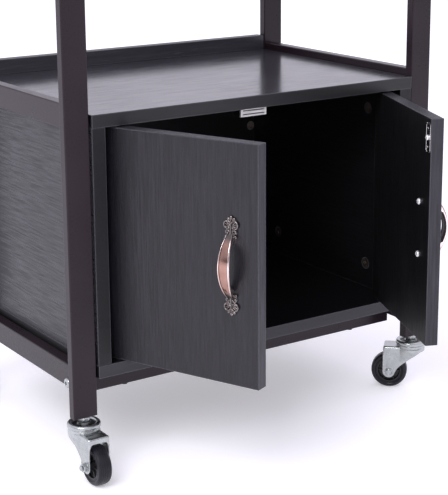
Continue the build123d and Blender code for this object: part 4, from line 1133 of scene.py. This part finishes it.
def front_lip(mesh):
    """The front of the fork, arched over the wheel between the cheeks."""
    half = FORK_HALF_WIDTH - LIP_INSET
    straight = FORK_HALF_WIDTH - FORK_GAUGE - LIP_ARCH_RADIUS
    back, front = FORK_FRONT - FORK_GAUGE, FORK_FRONT
    top = CROWN_TOP - FORK_BEND + LIP_LAP
    sections = []
    for step in range(-LIP_STEPS, LIP_STEPS + 1):
        v = half * step / LIP_STEPS
        off = min(max(abs(v) - straight, 0), LIP_ARCH_RADIUS)
        low = LIP_LOW - LIP_ARCH_RADIUS + math.sqrt(LIP_ARCH_RADIUS**2 - off * off)
        sections.append([(back, v, low), (front, v, low), (front, v, top), (back, v, top)])
    loft(mesh, sections)


def fork_skin():
    """The pressed fork: round crown, flared skirt, cheeks and an arched front lip."""
    mesh = bmesh.new()
    loft(mesh, [fork_section(u) for u in fork_stations()])
    front_lip(mesh)
    turned(mesh, FORK_RING)
    made = shaped("fork_pattern", mesh)
    fuse(made, voxel=0.45, smoothing=6, kept=0.5)
    return take_skin(made)


def sideways():
    """Turns z to the way from the middle of the wheel along its axle, at the axle."""
    to_axle = Matrix.Translation((CASTOR_TRAIL, 0, WHEEL_RADIUS))
    return to_axle @ Matrix.Rotation(math.radians(-90), 4, "X")


def axle():
    """A rivet-headed axle with a washer, a nut and a threaded end."""
    mesh = bmesh.new()
    turn = sideways()
    turned(mesh, AXLE_HEAD, turn)
    rod = [(0, AXLE_ROOT), (AXLE_RADIUS, AXLE_ROOT), (AXLE_RADIUS, THREAD_START)]
    for step in range(THREAD_TURNS):
        down = THREAD_PITCH * step
        rod.append((THREAD_ROOT_RADIUS, THREAD_FIRST_ROOT - down))
        rod.append((AXLE_RADIUS, THREAD_FIRST_CREST - down))
    rod += [AXLE_TIP, (0, AXLE_TIP[1])]
    turned(mesh, rod, turn)
    turned(mesh, AXLE_WASHER, turn)
    nut(mesh, *AXLE_NUT, turn)
    return mesh


def tyre():
    mesh = bmesh.new()
    turned(mesh, mirrored(TYRE_HALF), sideways(), TYRE_SIDES)
    return mesh


def hub():
    mesh = bmesh.new()
    turn = sideways()
    turned(mesh, mirrored(HUB_HALF), turn, HUB_SIDES)
    for number in range(SPOKES):
        spoke = turn @ Matrix.Rotation(math.radians(360 / SPOKES * number), 4, "Z")
        block(mesh, SPOKE_LOW, SPOKE_HIGH, SPOKE_EASING, spoke)
    return mesh


def cap_outline():
    """The bearing cap: a fat rolled rim round a sunk floor."""
    centre_r, centre_z = CAP_RIM_CENTRE
    rim = []
    for angle in CAP_RIM_ANGLES:
        lean = math.radians(angle)
        radius = centre_r + CAP_RIM_RADIUS * math.cos(lean)
        rim.append((radius, centre_z + CAP_RIM_RADIUS * math.sin(lean)))
    return rim + CAP_FLOOR


def castors():
    caps, studs, rings, balls = (bmesh.new() for part in range(4))
    skin = fork_skin()
    for corner in CORNERS:
        place = castor_frame(corner)
        spot = in_millimetres(place)
        turned(caps, cap_outline(), spot, CAP_SIDES)
        for outline in (KINGPIN, STEM_COLLAR, STUD):
            turned(studs, outline, spot)
        nut(studs, *STEM_NUT, spot)
        # A black ring in the recess of each cap, darkening the recess
        turned(rings, RECESS_RING, spot)
        for angle in around(BALLS):
            roll = spot @ Matrix.Rotation(angle, 4, "Z")
            blob(balls, roll @ BALL_RING, (BALL_RADIUS, BALL_RADIUS, BALL_RADIUS))
        fork = linked(f"{corner}_castor_fork", skin.copy())
        settle(fork, f"swivel_{corner}", "zinc_steel", f"castor_{corner}_fork", place=place)
        for part, draw, slot, body in (
            ("axle", axle, "zinc_steel", f"swivel_{corner}"),
            ("tyre", tyre, "wheel_rubber", f"wheel_{corner}"),
            ("hub", hub, "wheel_plastic", f"wheel_{corner}"),
        ):
            made = shaped(f"{corner}_wheel_{part}", draw())
            settle(made, body, slot, f"castor_{corner}_{part}", place=place)
    settle(shaped("castor_bearing_caps", caps), "frame", "zinc_steel", "castor_caps")
    settle(shaped("castor_stem_nuts", studs), "frame", "zinc_steel", "castor_stems")
    settle(shaped("castor_recess_rings", rings), "frame", "nylon")
    settle(shaped("castor_bearing_balls", balls), "frame", "zinc_steel", "castor_balls")


# Frame bolts, through the side rails into the cross rails
BOLT_HEAD_HEIGHT = 3.6
BOLT = [
    (0, -22.0), (3.0, -22.0), (3.0, 0), (6.4, 0), (6.4, 1.5), (6.1, 2.4), (5.4, 3.1), (4.4, 3.5),
    (0, BOLT_HEAD_HEIGHT),
]
BOLT_SIDES = 36
BOLT_SOCKET_ACROSS_FLATS = 4.4
BOLT_SOCKET_DEPTH = 2.2
BOLT_SOCKET_TOP = 6.0


def frame_bolts():
    mesh = bmesh.new()
    sockets = bmesh.new()
    socket_floor = BOLT_HEAD_HEIGHT - BOLT_SOCKET_DEPTH
    for level in ("lower", "top"):
        for row in ("front", "rear"):
            low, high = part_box(f"{level}_cross_rail_{row}")
            middle = (Vector(low) + Vector(high)) / 2
            for hand, side in HANDS.items():
                rail_low, rail_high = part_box(f"{level}_side_rail_{hand}")
                outer_x = rail_low[0] if side < 0 else rail_high[0]
                seat = Vector((outer_x, middle.y, middle.z))
                spot = in_millimetres(face_matrix(UP, Vector((side, 0, 0)), seat))
                turned(mesh, BOLT, spot, BOLT_SIDES)
                nut(sockets, BOLT_SOCKET_ACROSS_FLATS, socket_floor, BOLT_SOCKET_TOP, spot)
    made = shaped("frame_bolt_set", mesh)
    carve(made, sockets)
    settle(made, "frame", "zinc_steel", "frame_bolts")


# Stage and light, in metres. The studio is white all round, but for a dim band low down
# on the side of the room: amounts, and the range of the ray's height that each fades over.
FLOOR_RADIUS = 50
FLOOR_SIDES = 96
WORLD_COLOUR = (1.03, 1.0, 1.13, 1)
ROOM_SIDE = (-0.55, -0.84, 0)
ROOM_FADE = (0.0, 0.5)
LOW_BAND = (0.45, (0.04, 0.22))
HIGH_BAND = (0.35, (0.10, 0.70))
SOFTBOX_PLACE = (-2.2, -1.6, 2.4)
SOFTBOX_TARGET = (0, 0, 0.4)
SOFTBOX_SIZE = 1.6
SOFTBOX_POWER = 60


def make_floor():
    mesh = bmesh.new()
    bmesh.ops.create_circle(mesh, cap_ends=True, radius=FLOOR_RADIUS, segments=FLOOR_SIDES)
    data = bpy.data.meshes.new("studio_floor")
    mesh.to_mesh(data)
    mesh.free()
    floor = linked("studio_floor", data)
    floor.data.materials.append(floor_material())


def make_world():
    world = bpy.data.worlds.new("studio")
    bpy.context.scene.world = world
    world.use_nodes = True
    tree = world.node_tree
    background = tree.nodes["Background"]
    background.inputs["Color"].default_value = WORLD_COLOUR
    ray = add(tree, "TexCoord").outputs["Generated"]
    to_room = cosine(tree, ray, ROOM_SIDE)
    height = add(tree, "SeparateXYZ", {0: ray}).outputs["Z"]
    bands = [span(tree, height, dark, 0, *fade) for dark, fade in (LOW_BAND, HIGH_BAND)]
    dim = product(tree, span(tree, to_room, 0, 1, *ROOM_FADE), total(tree, *bands))
    tree.links.new(math_node(tree, "SUBTRACT", 1.0, dim), background.inputs["Strength"])


def make_softbox():
    lamp = bpy.data.lights.new("key_softbox", "AREA")
    lamp.shape = "SQUARE"
    lamp.size = SOFTBOX_SIZE
    lamp.energy = SOFTBOX_POWER
    holder = linked("key_softbox", lamp)
    holder.location = SOFTBOX_PLACE
    away = Vector(SOFTBOX_TARGET) - Vector(SOFTBOX_PLACE)
    holder.rotation_euler = away.to_track_quat("-Z", "Y").to_euler()


# Camera, fitted to where a first fit to the photograph's edges puts the model's corners.
# Lengths are in metres and angles in degrees.
PICTURE_LONG_SIDE = 495
FOCAL_PIXELS = 1417.8
SENSOR_WIDTH_MM = 36.0
CAMERA_PLACE = (-1.0016, -1.5912, 0.7380)
CAMERA_YAW = 33.68
CAMERA_PITCH = 13.80
CAMERA_ROLL = 0.42
CAMERA_SHIFT_Y = -0.10
CLIP_START = 0.05
CLIP_END = 60


def make_camera():
    lens = bpy.data.cameras.new("camera")
    lens.sensor_width = SENSOR_WIDTH_MM
    lens.lens = FOCAL_PIXELS / PICTURE_LONG_SIDE * lens.sensor_width
    lens.shift_y = CAMERA_SHIFT_Y
    lens.clip_start = CLIP_START
    lens.clip_end = CLIP_END
    camera = linked("camera", lens)
    camera.rotation_mode = "XYZ"
    yaw = Matrix.Rotation(math.radians(-CAMERA_YAW), 4, "Z")
    tilt = Matrix.Rotation(math.radians(90 - CAMERA_PITCH), 4, "X")
    roll = Matrix.Rotation(math.radians(-CAMERA_ROLL), 4, "Z")
    camera.matrix_world = Matrix.Translation(CAMERA_PLACE) @ yaw @ tilt @ roll
    bpy.context.scene.camera = camera


dress_cad_nodes()
pulls()
for hand in HANDS:
    strike_plate(hand)
    door_screws(hand)
catch()
castors()
frame_bolts()
make_floor()
make_world()
make_softbox()
make_camera()
bpy.context.scene.view_settings.view_transform = "Standard"
